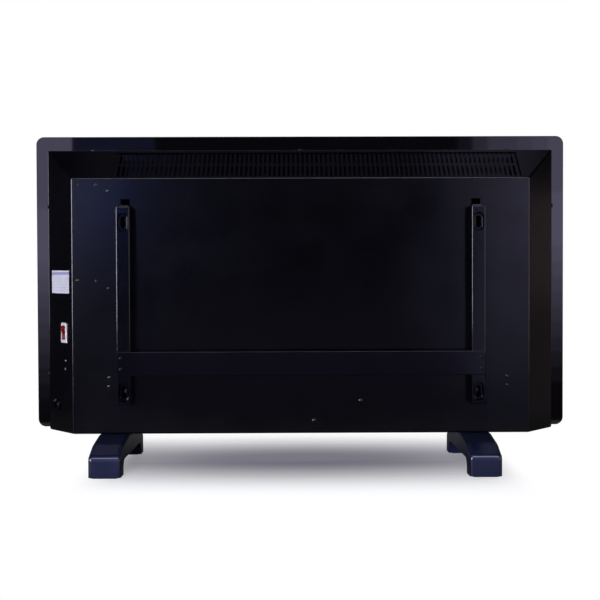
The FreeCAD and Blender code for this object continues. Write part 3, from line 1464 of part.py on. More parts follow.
def write_parts(parts):
    """Checks the whole document, then writes one file for each sub-part."""
    document.recompute()
    for item in document.Objects:
        if "Invalid" in item.State or "Error" in item.State:
            raise ValueError(f"{item.Label} failed: {item.State}")
    for part in parts:
        if part.Shape.isNull() or not part.Shape.isValid():
            raise ValueError(f"{part.Label} has no valid shape")
    os.makedirs("parts", exist_ok=True)
    for part in parts:
        part.Shape.exportStep(f"parts/{part.Label}.step")
        box = part.Shape.BoundBox
        print(f"{part.Label:22s} {len(part.Shape.Solids):3d} solids  x {box.XMin:8.2f} {box.XMax:8.2f}  "
              f"y {box.YMin:8.2f} {box.YMax:8.2f}  z {box.ZMin:8.2f} {box.ZMax:8.2f}")


write_parts(make_all())
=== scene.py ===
"""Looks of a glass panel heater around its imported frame: finishes, printed and fastened pieces, and the studio."""

import logging
import math
from collections.abc import Callable, Iterator
from contextlib import contextmanager
from dataclasses import dataclass, field
from enum import Enum
from functools import cache
from typing import Any, NamedTuple

import bmesh
import bpy
from mathutils import Matrix, Vector


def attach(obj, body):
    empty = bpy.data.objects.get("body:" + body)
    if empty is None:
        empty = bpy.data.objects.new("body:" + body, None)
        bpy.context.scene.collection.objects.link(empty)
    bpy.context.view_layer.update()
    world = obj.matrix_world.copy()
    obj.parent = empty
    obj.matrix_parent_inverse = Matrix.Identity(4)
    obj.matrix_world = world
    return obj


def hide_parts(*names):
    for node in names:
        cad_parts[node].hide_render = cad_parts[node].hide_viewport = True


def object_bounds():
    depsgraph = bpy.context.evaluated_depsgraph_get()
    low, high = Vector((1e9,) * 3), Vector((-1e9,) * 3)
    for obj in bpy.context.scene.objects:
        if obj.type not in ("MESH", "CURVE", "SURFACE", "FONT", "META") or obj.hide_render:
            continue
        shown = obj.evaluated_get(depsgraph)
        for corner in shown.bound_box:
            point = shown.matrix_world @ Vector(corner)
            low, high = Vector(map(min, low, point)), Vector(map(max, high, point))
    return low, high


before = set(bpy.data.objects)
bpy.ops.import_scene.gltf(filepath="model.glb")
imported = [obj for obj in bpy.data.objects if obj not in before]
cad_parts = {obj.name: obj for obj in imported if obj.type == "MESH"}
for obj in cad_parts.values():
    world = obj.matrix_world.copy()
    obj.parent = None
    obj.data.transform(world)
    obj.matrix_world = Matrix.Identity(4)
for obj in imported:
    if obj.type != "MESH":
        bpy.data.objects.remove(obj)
CAD_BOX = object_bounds()

LOG = logging.getLogger("panel_heater")

Triple = tuple[float, float, float]
Colour = Triple
Point = Triple
Span = tuple[float, float]
Piece = bpy.types.Object
Socket = bpy.types.NodeSocket
Feed = Socket | float | tuple[float, ...]

UP = Vector((0.0, 0.0, 1.0))
REAR = Vector((0.0, 1.0, 0.0))
QUARTER_TURN = math.pi / 2

# The leaning wall at the switch end: where its slope starts at the front, the way up the slope and the way it faces.
WALL_FRONT = (0.394, -0.021)
WALL_ALONG = Vector((-0.65930, 0.75188, 0.0))
WALL_OUT = WALL_ALONG.cross(UP)

# The front of the glass, along Y.
GLASS_FACE = -0.037

# Modelling: steps of an eased corner, sides of a ring, how squarely a level face points along Z, and the distance
# within which corners count as one.
CORNER_STEPS = 4
RING_SIDES = 40
LEVEL = 0.9
WELD = 1e-6

# Wear: octaves of each noise, smudges of gloss on a patch of colour, and the levels that noises are stretched from.
PATCH_OCTAVES = 5.0
SMUDGE_OCTAVES = 6.0
GRAIN_OCTAVES = 2.0
SMUDGES_PER_PATCH = 2.3
PATCH_LEVELS = (0.35, 0.65)
SMUDGE_LEVELS = (0.3, 0.7)

# Dust: its colour, cells per metre that may hold a speck, where a speck ends in its cell, and which cells stay clean.
DUST_COLOUR = (0.45, 0.45, 0.47)
DUST_CELLS = 85.0
DUST_EDGE = (0.03, 0.06)
DUST_CLEAN = 0.62

# Studio: the picture's width, the camera's film, watts per square metre of a softbox that looks as bright as white
# paper, and what is up for a lamp, leaning a little so that a lamp facing straight down has an up as well.
PICTURE_PIXELS = 600
SENSOR_MM = 36.0
WHITE_WATTS = 4.0
LAMP_UP = Vector((0.0, 0.001, 1.0))
WHITE = (1.0, 1.0, 1.0)
BLACK = (0.0, 0.0, 0.0)


class Body(Enum):
    """Bodies of the frame that the added pieces ride on."""

    HEATER = "heater"
    ROCKER = "rocker"


class Rays(Enum):
    """Which rays meet a softbox: those of matt surfaces, and those of glossy ones."""

    MATT = (True, False)
    GLOSSY = (False, True)


class Ease(Enum):
    """How a value goes from one end of its range to the other."""

    STRAIGHT = "LINEAR"
    SOFT = "SMOOTHSTEP"


class Tree:
    """A node tree that is built node by node."""

    def __init__(self, tree: bpy.types.NodeTree) -> None:
        """Starts from an empty tree."""
        self.tree = tree
        tree.nodes.clear()

    def add(self, kind: str, inputs: dict[str | int, Feed] | None = None, **settings: Any) -> bpy.types.Node:
        """Adds a node and feeds its sockets.

        Args:
            kind: the node's type, without its prefix.
            inputs: a socket to link or a constant to set, for each input by name or number.
            settings: the node's own properties.

        Returns:
            The node.
        """
        node = self.tree.nodes.new("ShaderNode" + kind)
        for name, setting in settings.items():
            setattr(node, name, setting)
        for name, given in (inputs or {}).items():
            if isinstance(given, Socket):
                self.tree.links.new(given, node.inputs[name])
            else:
                node.inputs[name].default_value = given
        return node

    def place(self, stretch: Point = (1.0, 1.0, 1.0), centre: Point = (0.0, 0.0, 0.0)) -> Socket:
        """Gives the piece's own coordinates, moved and stretched.

        Args:
            stretch: factor along each axis.
            centre: point that becomes zero.

        Returns:
            The vector socket.
        """
        own = self.add("TexCoord").outputs["Object"]
        moved = self.add("VectorMath", {0: own, 1: centre}, operation="SUBTRACT").outputs[0]
        return self.add("Mapping", {"Vector": moved, "Scale": stretch}).outputs[0]

    def along(self, axis: str, centre: Point = (0.0, 0.0, 0.0)) -> Socket:
        """Gives the piece's own coordinate along one axis, from a centre."""
        return self.add("SeparateXYZ", {0: self.place(centre=centre)}).outputs[axis]

    def length(self, vector: Socket) -> Socket:
        """Gives the length of a vector."""
        return self.add("VectorMath", {0: vector}, operation="LENGTH").outputs["Value"]

    def noise(self, scale: float, detail: float, vector: Socket) -> Socket:
        """Gives a noise between zero and one, with so many grains per metre and so many octaves."""
        return self.add("TexNoise", {"Vector": vector, "Scale": scale, "Detail": detail}).outputs[0]

    def spread(self, value: Feed, reach: tuple[float, float, float, float], ease: Ease = Ease.STRAIGHT) -> Socket:
        """Maps a value from the first two numbers of a reach to its last two, held at the ends."""
        ends = dict(zip(("From Min", "From Max", "To Min", "To Max"), reach))
        return self.add("MapRange", {0: value, **ends}, interpolation_type=ease.value).outputs[0]

    def blend(self, share: Feed, first: Feed, second: Feed) -> Socket:
        """Mixes two colours by the share of the second."""
        return self.add("Mix", {0: share, 6: first, 7: second}, data_type="RGBA").outputs[2]

    def maths(self, operation: str, first: Feed, second: Feed = 0.0) -> Socket:
        """Works out one sum of two values."""
        return self.add("Math", {0: first, 1: second}, operation=operation).outputs[0]

    def within(self, value: Socket, middle: float, half: float) -> Socket:
        """Gives one where a value is less than half a band's width from the band's middle, and zero elsewhere."""
        return self.maths("LESS_THAN", self.maths("ABSOLUTE", self.maths("SUBTRACT", value, middle)), half)

    def shine(self, kind: str, colour: Feed, strength: Feed) -> Socket:
        """Adds an Emission or Background shader and gives its output."""
        return self.add(kind, {"Color": colour, "Strength": strength}).outputs[0]

    def mirrored(self) -> Socket:
        """Gives one for rays from a mirror or a clear surface, and zero for others."""
        path = self.add("LightPath").outputs
        return self.maths("MAXIMUM", path["Is Glossy Ray"], path["Is Transmission Ray"])

    def from_camera(self) -> Socket:
        """Gives one for rays from the camera, and zero for others."""
        return self.add("LightPath").outputs["Is Camera Ray"]


def solid(colour: Colour) -> tuple[float, float, float, float]:
    """Gives a colour with full cover."""
    return (*colour, 1.0)


def node_material(name: str) -> tuple[bpy.types.Material, Tree]:
    """Makes a material with an empty tree.

    Args:
        name: its name.

    Returns:
        The material and its tree.
    """
    made = bpy.data.materials.new(name)
    made.use_nodes = True
    return made, Tree(made.node_tree)


@dataclass(frozen=True)
class Finish:
    """A surface with a mottled colour, uneven gloss, a fine relief and a little dust.

    Attributes:
        name: the material's name.
        dark: colour of its darker places.
        light: colour of its lighter places.
        rough: lowest and highest roughness.
        mottle: patches of colour and gloss per metre.
        grain: grains of the relief per metre.
        relief: strength of the relief.
        depth: height of the relief in metres.
        stretch: factor on the grain along each axis.
        metallic: zero for paint and plastic, one for bare metal.
        specular: how strongly it mirrors.
        dust: share of the dust's colour in a speck.
    """

    name: str
    dark: Colour
    light: Colour
    rough: Span = (0.3, 0.42)
    mottle: float = 7.0
    grain: float = 420.0
    relief: float = 0.08
    depth: float = 0.0002
    stretch: Point = (1.0, 1.0, 1.0)
    metallic: float = 0.0
    specular: float = 0.5
    dust: float = 0.03

    def tint(self, tree: Tree) -> Socket:
        """Gives the colour before dust."""
        patches = tree.noise(self.mottle, PATCH_OCTAVES, tree.place(self.stretch))
        return tree.blend(tree.spread(patches, (*PATCH_LEVELS, 0.0, 1.0)), solid(self.dark), solid(self.light))

    def specks(self, tree: Tree) -> Socket:
        """Gives the share of dust at a point.

        Args:
            tree: the tree to build in.

        Returns:
            The value socket.
        """
        cells = tree.add("TexVoronoi", {"Vector": tree.place(), "Scale": DUST_CELLS})
        close = tree.spread(cells.outputs["Distance"], (*DUST_EDGE, 1.0, 0.0))
        chosen = tree.maths("GREATER_THAN", cells.outputs["Color"], DUST_CLEAN)
        return tree.maths("MULTIPLY", tree.maths("MULTIPLY", close, chosen), self.dust)

    def gloss(self, tree: Tree) -> Socket:
        """Gives the roughness, with smudges finer than the patches of colour."""
        smudges = tree.noise(self.mottle * SMUDGES_PER_PATCH, SMUDGE_OCTAVES, tree.place(self.stretch))
        return tree.spread(smudges, (*SMUDGE_LEVELS, *self.rough))

    def bumps(self, tree: Tree) -> Socket:
        """Gives the normal of the fine relief."""
        grains = tree.noise(self.grain, GRAIN_OCTAVES, tree.place(self.stretch))
        return tree.add("Bump", {"Strength": self.relief, "Distance": self.depth, "Height": grains}).outputs[0]

    def extra(self) -> dict[str, Feed]:
        """Gives constants for sockets that few finishes use."""
        return {}

    @cache
    def material(self) -> bpy.types.Material:
        """Makes the material, once for each finish.

        Returns:
            The material.
        """
        made, tree = node_material(f"{self.name}_finish")
        shader = tree.add("BsdfPrincipled", {
            "Base Color": tree.blend(self.specks(tree), self.tint(tree), solid(DUST_COLOUR)),
            "Roughness": self.gloss(tree),
            "Normal": self.bumps(tree),
            "Metallic": self.metallic,
            "Specular IOR Level": self.specular,
            **self.extra(),
        })
        tree.add("OutputMaterial", {"Surface": shader.outputs[0]})
        return made


@dataclass(frozen=True)
class LitPrint(Finish):
    """Printed marks with a lamp behind them.

    Attributes:
        glow: strength of the light.
    """

    glow: float = 0.5

    def extra(self) -> dict[str, Feed]:
        """Adds the light of the lamp."""
        return {"Emission Color": solid(self.light), "Emission Strength": self.glow}


@dataclass(frozen=True)
class BlankForm(Finish):
    """A paper label with a coloured band and empty ruled lines. Levels are shares of its height, from its middle.

    Attributes:
        band: colour of the band.
        rule: colour of the lines.
        middle: the label's middle.
        height: its height in metres.
        lines: ruled lines over its height.
        line_share: how much of the distance between lines a line takes.
        banded: level of the band's middle, and half its height.
        ruled: level of the middle of the ruled part, and half its height.
        ink: how strongly the lines and the band are printed.
    """

    band: Colour = (0.30, 0.30, 0.62)
    rule: Colour = (0.52, 0.52, 0.62)
    middle: Point = (0.0, 0.0, 0.0)
    height: float = 0.035
    lines: float = 8.0
    line_share: float = 0.12
    banded: Span = (0.37, 0.055)
    ruled: Span = (-0.06, 0.36)
    ink: Span = (0.55, 0.85)

    def tint(self, tree: Tree) -> Socket:
        """Gives the paper's colour with its band and lines.

        Args:
            tree: the tree to build in.

        Returns:
            The colour socket.
        """
        level = tree.maths("DIVIDE", tree.along("Z", self.middle), self.height)
        step = tree.maths("FRACT", tree.maths("MULTIPLY", level, self.lines))
        on_line = tree.maths("LESS_THAN", step, self.line_share)
        lines = tree.maths("MULTIPLY", on_line, tree.within(level, *self.ruled))
        line_ink, band_ink = self.ink
        lined = tree.blend(tree.maths("MULTIPLY", lines, line_ink), super().tint(tree), solid(self.rule))
        return tree.blend(tree.maths("MULTIPLY", tree.within(level, *self.banded), band_ink), lined, solid(self.band))


CASE_PAINT = Finish("case_paint", (0.0006, 0.0006, 0.0012), (0.0010, 0.0011, 0.0022), (0.17, 0.24), specular=0.19)
BRACKET_PAINT = Finish("bracket_paint", (0.0007, 0.0008, 0.0022), (0.0013, 0.0014, 0.0040), (0.12, 0.17), mottle=15.0,
                       specular=0.17)
RIVET_PAINT = Finish("rivet_paint", (0.0035, 0.0036, 0.0046), (0.0060, 0.0062, 0.0075), (0.22, 0.30), mottle=200.0,
                     specular=0.24)
BAR_RIVET_PAINT = Finish("bar_rivet_paint", (0.0006, 0.0006, 0.0010), (0.0010, 0.0010, 0.0018), (0.45, 0.55),
                         mottle=200.0, specular=0.10)
BLACK_GLASS = Finish("black_glass", (0.0014, 0.0014, 0.0019), (0.0022, 0.0022, 0.0030), (0.025, 0.05), mottle=4.0,
                     grain=18.0, relief=0.01, dust=0.015)
FOOT_PLASTIC = Finish("foot_plastic", (0.0062, 0.0088, 0.030), (0.0086, 0.0122, 0.041), (0.19, 0.27), mottle=24.0,
                      grain=1500.0, relief=0.16, depth=0.0001, specular=0.3)
BLACK_PLASTIC = Finish("black_plastic", (0.0028, 0.0028, 0.0034), (0.0048, 0.0048, 0.0056), (0.38, 0.5), mottle=40.0,
                       grain=1800.0, relief=0.14, depth=0.0001, specular=0.22)
GLAND_PLASTIC = Finish("gland_plastic", (0.0008, 0.0008, 0.0011), (0.0014, 0.0014, 0.0019), (0.12, 0.18), mottle=120.0,
                       grain=1800.0, depth=0.0001, specular=0.22)
WHITE_PLASTIC = Finish("white_plastic", (0.78, 0.78, 0.79), (0.86, 0.86, 0.87), (0.24, 0.34), mottle=60.0,
                       grain=1200.0, relief=0.04, depth=0.0001)
RED_PLASTIC = Finish("red_plastic", (0.17, 0.002, 0.006), (0.23, 0.004, 0.009), (0.2, 0.3), mottle=90.0,
                     grain=900.0, relief=0.03, depth=0.0001, specular=0.12)
RUBBER = Finish("pad_rubber", (0.018, 0.018, 0.019), (0.034, 0.034, 0.036), (0.66, 0.82), mottle=60.0, grain=1400.0,
                relief=0.25, specular=0.25, dust=0.1)
FOAM = Finish("foam_tape", (0.014, 0.014, 0.015), (0.03, 0.03, 0.032), (0.8, 0.95), mottle=80.0, grain=2200.0,
              relief=0.4, specular=0.15)
ZINC = Finish("zinc_steel", (0.50, 0.51, 0.53), (0.68, 0.69, 0.71), (0.22, 0.36), mottle=160.0, grain=900.0,
              metallic=1.0)
SHEET_STEEL = Finish("sheet_steel", (0.42, 0.43, 0.45), (0.58, 0.59, 0.61), (0.32, 0.46), mottle=45.0, grain=240.0,
                     relief=0.05, stretch=(0.1, 1.0, 1.0), metallic=1.0)
ALUMINIUM = Finish("element_aluminium", (0.62, 0.62, 0.64), (0.76, 0.76, 0.78), (0.28, 0.4), mottle=50.0, grain=700.0,
                   relief=0.06, stretch=(0.04, 1.0, 1.0), metallic=1.0)
CERAMIC = Finish("bush_ceramic", (0.74, 0.71, 0.65), (0.84, 0.82, 0.76), (0.55, 0.7), mottle=120.0, grain=1600.0,
                 relief=0.15)
LAMINATE = Finish("board_laminate", (0.012, 0.13, 0.06), (0.022, 0.18, 0.085), mottle=90.0, grain=900.0, relief=0.1)
BRASS = Finish("tab_brass", (0.58, 0.42, 0.16), (0.72, 0.55, 0.25), (0.25, 0.38), mottle=120.0, grain=600.0,
               relief=0.05, metallic=1.0)
SWITCH_PRINT = Finish("switch_print", (0.38, 0.24, 0.25), (0.46, 0.32, 0.33), (0.35, 0.45), mottle=300.0, grain=2500.0,
                      relief=0.05, depth=0.00005)
TOUCH_PRINT = LitPrint("touch_print", (0.60, 0.70, 0.80), (0.74, 0.84, 0.94), (0.3, 0.4), mottle=200.0, grain=2500.0,
                       relief=0.03, depth=0.00005)


def clear_selection() -> None:
    """Deselects every object."""
    bpy.ops.object.select_all(action="DESELECT")


def choose(*pieces: Piece) -> None:
    """Selects these pieces alone and makes the first active.

    Args:
        pieces: what to select.
    """
    clear_selection()
    for piece in pieces:
        piece.select_set(True)
    bpy.context.view_layer.objects.active = pieces[0]


def start(name: str, add: Callable[..., Any], **settings: Any) -> Piece:
    """Adds a primitive as the only selected object.

    Args:
        name: the new object's name.
        add: the operator that adds it.
        settings: its size and place.

    Returns:
        The object.
    """
    clear_selection()
    add(**settings)
    piece = bpy.context.active_object
    piece.name = name
    piece.data.name = name
    return piece


@contextmanager
def editing(piece: Piece) -> Iterator[None]:
    """Opens a piece in edit mode for a while.

    Args:
        piece: the piece to edit.
    """
    choose(piece)
    bpy.ops.object.mode_set(mode="EDIT")
    yield
    bpy.ops.object.mode_set(mode="OBJECT")


def pick(piece: Piece, test: Callable[[bmesh.types.BMFace], bool]) -> None:
    """Selects the faces of the open piece that pass a test, and nothing else.

    Args:
        piece: the piece in edit mode.
        test: says whether a face is wanted.
    """
    bpy.ops.mesh.select_mode(type="FACE")
    bpy.ops.mesh.select_all(action="DESELECT")
    mesh = bmesh.from_edit_mesh(piece.data)
    for face in mesh.faces:
        face.select_set(bool(test(face)))
    mesh.select_flush_mode()
    bmesh.update_edit_mesh(piece.data)


def settle(piece: Piece, place: Matrix) -> Piece:
    """Puts a piece in its place and keeps that place in its mesh.

    Args:
        piece: the piece, made round the origin.
        place: where it goes.

    Returns:
        The piece.
    """
    choose(piece)
    piece.matrix_world = place @ piece.matrix_world
    bpy.ops.object.transform_apply(location=True, rotation=True, scale=True)
    return piece


def gather(name: str, pieces: list[Piece]) -> Piece:
    """Joins pieces into one.

    Args:
        name: the joined piece's name.
        pieces: what to join.

    Returns:
        The joined piece.
    """
    choose(*pieces)
    if len(pieces) > 1:
        bpy.ops.object.join()
    joined = bpy.context.active_object
    joined.name = name
    joined.data.name = name
    return joined


def repeat(piece: Piece, places: list[Matrix]) -> Piece:
    """Copies a piece to several places and joins the copies under its name.

    Args:
        piece: the piece, made round the origin.
        places: where the copies go.

    Returns:
        The joined piece.
    """
    copies = []
    for place in places:
        copied = bpy.data.objects.new(piece.name, piece.data.copy())
        bpy.context.scene.collection.objects.link(copied)
        copied.data.transform(place)
        copies.append(copied)
    name = piece.name
    bpy.data.objects.remove(piece)
    return gather(name, copies)


def facing(at: Vector, out: Vector, up: Vector) -> Matrix:
    """Gives the place of a flat piece.

    Args:
        at: where its origin goes.
        out: where its Z goes.
        up: roughly where its Y goes.

    Returns:
        The matrix.
    """
    normal = out.normalized()
    across = up.cross(normal).normalized()
    upright = normal.cross(across)
    turn = Matrix((across, upright, normal)).transposed().to_4x4()
    return Matrix.Translation(at) @ turn


def islands(node: str) -> list[tuple[Vector, Vector]]:
    """Gives the box of each separate solid of a node.

    Args:
        node: the node's name.

    Returns:
        Lowest and highest corners, one pair for each solid.
    """
    mesh = bmesh.new()
    mesh.from_mesh(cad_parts[node].data)
    bmesh.ops.remove_doubles(mesh, verts=mesh.verts, dist=WELD)
    mesh.verts.index_update()
    seen: set[int] = set()
    boxes = []
    for seed in mesh.verts:
        if seed.index in seen:
            continue
        front, points = [seed], []
        seen.add(seed.index)
        while front:
            vert = front.pop()
            points.append(vert.co.copy())
            for edge in vert.link_edges:
                other = edge.other_vert(vert)
                if other.index not in seen:
                    seen.add(other.index)
                    front.append(other)
        boxes.append(tuple(Vector([end(point[i] for point in points) for i in range(3)]) for end in (min, max)))
    mesh.free()
    return boxes


def thicken(thick: float) -> None:
    """Turns the open flat piece into a plate that stands out along Z.

    Args:
        thick: how far it stands out.
    """
    bpy.ops.mesh.select_all(action="SELECT")
    bpy.ops.mesh.extrude_region_move(TRANSFORM_OT_translate={"value": (0.0, 0.0, thick)})
    bpy.ops.mesh.select_all(action="SELECT")
    bpy.ops.mesh.normals_make_consistent(inside=False)


def flat_bar(name: str, width: float, height: float, thick: float, nose: float) -> Piece:
    """Models a thin flat bar with eased corners, round the origin and facing +Z.

    Args:
        name: its name.
        width: size along X.
        height: size along Y.
        thick: how far it stands out.
        nose: size of the eased corners.

    Returns:
        The bar.
    """
    bar = start(name, bpy.ops.mesh.primitive_plane_add, size=1.0)
    bar.scale = (width, height, 1.0)
    settle(bar, Matrix.Identity(4))
    with editing(bar):
        bpy.ops.mesh.select_all(action="SELECT")
        bpy.ops.mesh.bevel(offset=nose, segments=CORNER_STEPS, affect="VERTICES")
        thicken(thick)
    return bar


def flat_ring(name: str, outer: float, width: float, thick: float) -> Piece:
    """Models a thin flat ring round the origin, facing +Z.

    Args:
        name: its name.
        outer: its outer radius.
        width: width of its band.
        thick: how far it stands out.

    Returns:
        The ring.
    """
    ring = start(name, bpy.ops.mesh.primitive_circle_add, vertices=RING_SIDES, radius=outer, fill_type="NGON")
    with editing(ring):
        bpy.ops.mesh.select_all(action="SELECT")
        bpy.ops.mesh.inset(thickness=width, depth=0.0)
        bpy.ops.mesh.delete(type="FACE")
        thicken(thick)
    return ring


Finishes = dict[str, Finish]


def dressed(**finishes: Finish) -> Any:
    """Gives a dataclass field with the finish of each node that stays."""
    return field(default_factory=lambda: dict(finishes))


@dataclass
class SubAssembly:
    """Nodes of the frame that belong together, with the pieces added to them.

    Attributes:
        finishes: the finish of each node that stays.
        made: pieces added so far.
    """

    finishes: Finishes = dressed()
    made: list[Piece] = field(default_factory=list)

    def build(self) -> None:
        """Adds no piece, unless a sub-assembly has some."""

    def dress(self) -> None:
        """Gives each node its finish."""
        for node, finish in self.finishes.items():
            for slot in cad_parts[node].material_slots:
                slot.material = finish.material()

    def keep(self, piece: Piece, body: Body, finish: Finish, slot: str, *stood_for: str) -> None:
        """Gives a new piece its finish and its body.

        Args:
            piece: the finished piece.
            body: what it rides on.
            finish: its finish.
            slot: the record's material slot that it follows; not used.
            stood_for: nodes that it replaces.
        """
        piece.data.materials.clear()
        piece.data.materials.append(finish.material())
        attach(piece, body.value)
        if stood_for:
            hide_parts(*stood_for)
        self.made.append(piece)

    def pieces(self) -> list[Piece]:
        """Gives its nodes that stay and the pieces added to them."""
        return [*(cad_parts[node] for node in self.finishes), *self.made]


class Stroke(NamedTuple):
    """A printed stroke: its middle from the display's middle, its length and its turn in the face."""

    across: float
    up: float
    length: float
    turn: float = 0.0


@dataclass
class GlassFront(SubAssembly):
    """The glass with its touch marks, and what is bonded behind it.

    Attributes:
        middle: the middle of the display, along X and Z.
        digit: width and height of a digit.
        pitch: distance between digits.
        stroke: width of a printed stroke.
        eased: share of a stroke's width that its corners are eased by.
        proud: thickness of the print.
        arm: length of the strokes of the minus and the plus.
        keys_out: distance of the minus and the plus from the display's middle.
        standby_out: distance of the standby mark from the display's middle.
        stem: level and length of the standby mark's stroke.
        ring_level: level of its ring.
        ring_radius: outer radius of its ring.
        ring_gap: angle that its ring is open by.
    """

    finishes: Finishes = dressed(
        front_glass=BLACK_GLASS, glass_tape=FOAM, front_chassis=CASE_PAINT, display_module=BLACK_PLASTIC,
        display_board=LAMINATE, display_spacers=WHITE_PLASTIC)
    middle: Span = (0.300, 0.098)
    digit: Span = (0.0068, 0.0122)
    pitch: float = 0.0110
    stroke: float = 0.0013
    eased: float = 0.45
    proud: float = 0.00012
    arm: float = 0.0075
    keys_out: float = 0.046
    standby_out: float = 0.066
    stem: Span = (0.0028, 0.00465)
    ring_level: float = -0.0004
    ring_radius: float = 0.0042
    ring_gap: float = math.radians(64.0)

    def on_glass(self, across: float, up: float, turn: float = 0.0) -> Matrix:
        """Gives a place on the front of the glass, from the display's middle and turned in the face."""
        at = Vector((self.middle[0] + across, GLASS_FACE, self.middle[1] + up))
        return facing(at, -REAR, UP) @ Matrix.Rotation(turn, 4, "Z")

    def digit_strokes(self, lit: str, across: float) -> list[Stroke]:
        """Gives the strokes of a seven-bar digit.

        Args:
            lit: letters of the bars that are lit, from a at the top round to f, and g in the middle.
            across: where the digit stands.

        Returns:
            The strokes.
        """
        wide, tall = self.digit[0] / 2, self.digit[1] / 2
        flat, steep = 2 * wide - self.stroke, tall - self.stroke
        bars = {"a": Stroke(0.0, tall, flat), "g": Stroke(0.0, 0.0, flat), "d": Stroke(0.0, -tall, flat)}
        for letter, side, level in (("b", 1, 1), ("c", 1, -1), ("e", -1, -1), ("f", -1, 1)):
            bars[letter] = Stroke(side * wide, level * tall / 2, steep, QUARTER_TURN)
        return [bars[letter]._replace(across=across + bars[letter].across) for letter in lit]

    def power_arc(self) -> Piece:
        """Models the open ring of the standby mark.

        Returns:
            The ring, round the origin.
        """
        def in_gap(face: bmesh.types.BMFace) -> bool:
            """Says whether a face lies where the ring is open."""
            middle = face.calc_center_median()
            return abs(math.atan2(middle.x, middle.y)) < self.ring_gap / 2

        arc = flat_ring("standby_ring", self.ring_radius, self.stroke, self.proud)
        with editing(arc):
            pick(arc, in_gap)
            bpy.ops.mesh.delete(type="FACE")
            bpy.ops.mesh.select_mode(type="EDGE")
            bpy.ops.mesh.select_all(action="DESELECT")
            bpy.ops.mesh.select_non_manifold()
            bpy.ops.mesh.fill_holes(sides=4)
            bpy.ops.mesh.select_all(action="SELECT")
            bpy.ops.mesh.normals_make_consistent(inside=False)
        return arc

    def build(self) -> None:
        """Prints the set temperature and three touch marks."""
        stem_level, stem_length = self.stem
        strokes = [
            *self.digit_strokes("abged", -self.pitch / 2),
            *self.digit_strokes("bc", self.pitch / 2),
            Stroke(-self.keys_out, 0.0, self.arm),
            Stroke(self.keys_out, 0.0, self.arm),
            Stroke(self.keys_out, 0.0, self.arm, QUARTER_TURN),
            Stroke(-self.standby_out, stem_level, stem_length, QUARTER_TURN),
        ]
        marks = []
        for number, mark in enumerate(strokes):
            bar = flat_bar(f"stroke_{number}", mark.length, self.stroke, self.proud, self.stroke * self.eased)
            marks.append(settle(bar, self.on_glass(mark.across, mark.up, mark.turn)))
        marks.append(settle(self.power_arc(), self.on_glass(-self.standby_out, self.ring_level)))
        self.keep(gather("touch_marks", marks), Body.HEATER, TOUCH_PRINT, "white_plastic")


@dataclass
class HeatingUnit(SubAssembly):
    """The finned element on its rod, what carries it, and the shield before it."""

    finishes: Finishes = dressed(
        heat_shield=ALUMINIUM, heating_element=ALUMINIUM, element_rod=ZINC, element_bush_left=CERAMIC,
        element_bush_right=CERAMIC, element_bracket_left=SHEET_STEEL, element_bracket_right=SHEET_STEEL,
        thermal_cutout=BLACK_PLASTIC)


@dataclass
class Electrics(SubAssembly):
    """The control box and the other units on the mains side."""

    finishes: Finishes = dressed(
        control_box=BLACK_PLASTIC, control_lid=BLACK_PLASTIC, power_board=LAMINATE, board_parts=BLACK_PLASTIC,
        tip_switch=BLACK_PLASTIC, room_sensor=WHITE_PLASTIC, terminal_block=WHITE_PLASTIC, cord_gland=GLAND_PLASTIC)


@dataclass
class RearCase(SubAssembly):
    """The folded case with its plates, rivets and hooks, and the bare label on its leaning wall.

    Attributes:
        along: distance of the label's middle up the wall's slope from the front.
        level: its middle's height over the floor.
        width: its size along the slope.
        height: its upright size.
        thick: the paper's thickness.
        nose: size of its eased corners.
        lean: how far out of true it was stuck, in radians.
    """

    finishes: Finishes = dressed(
        rear_case=CASE_PAINT, top_grille=CASE_PAINT, bottom_grille=CASE_PAINT, case_rivets=RIVET_PAINT,
        hook_left=RIVET_PAINT, hook_right=RIVET_PAINT)
    along: float = 0.03625
    level: float = 0.2835
    width: float = 0.0525
    height: float = 0.035
    thick: float = 0.00015
    nose: float = 0.0016
    lean: float = math.radians(-0.8)

    def build(self) -> None:
        """Sticks the label on."""
        at = Vector((*WALL_FRONT, self.level)) + WALL_ALONG * self.along
        sheet = flat_bar("wall_label", self.width, self.height, self.thick, self.nose)
        settle(sheet, facing(at, WALL_OUT, UP) @ Matrix.Rotation(self.lean, 4, "Z"))
        paper = BlankForm("label_paper", (0.76, 0.75, 0.86), (0.84, 0.83, 0.93), (0.42, 0.52), mottle=60.0,
                          grain=2600.0, depth=0.00004, middle=tuple(at), height=self.height)
        self.keep(sheet, Body.HEATER, paper, "white_plastic")


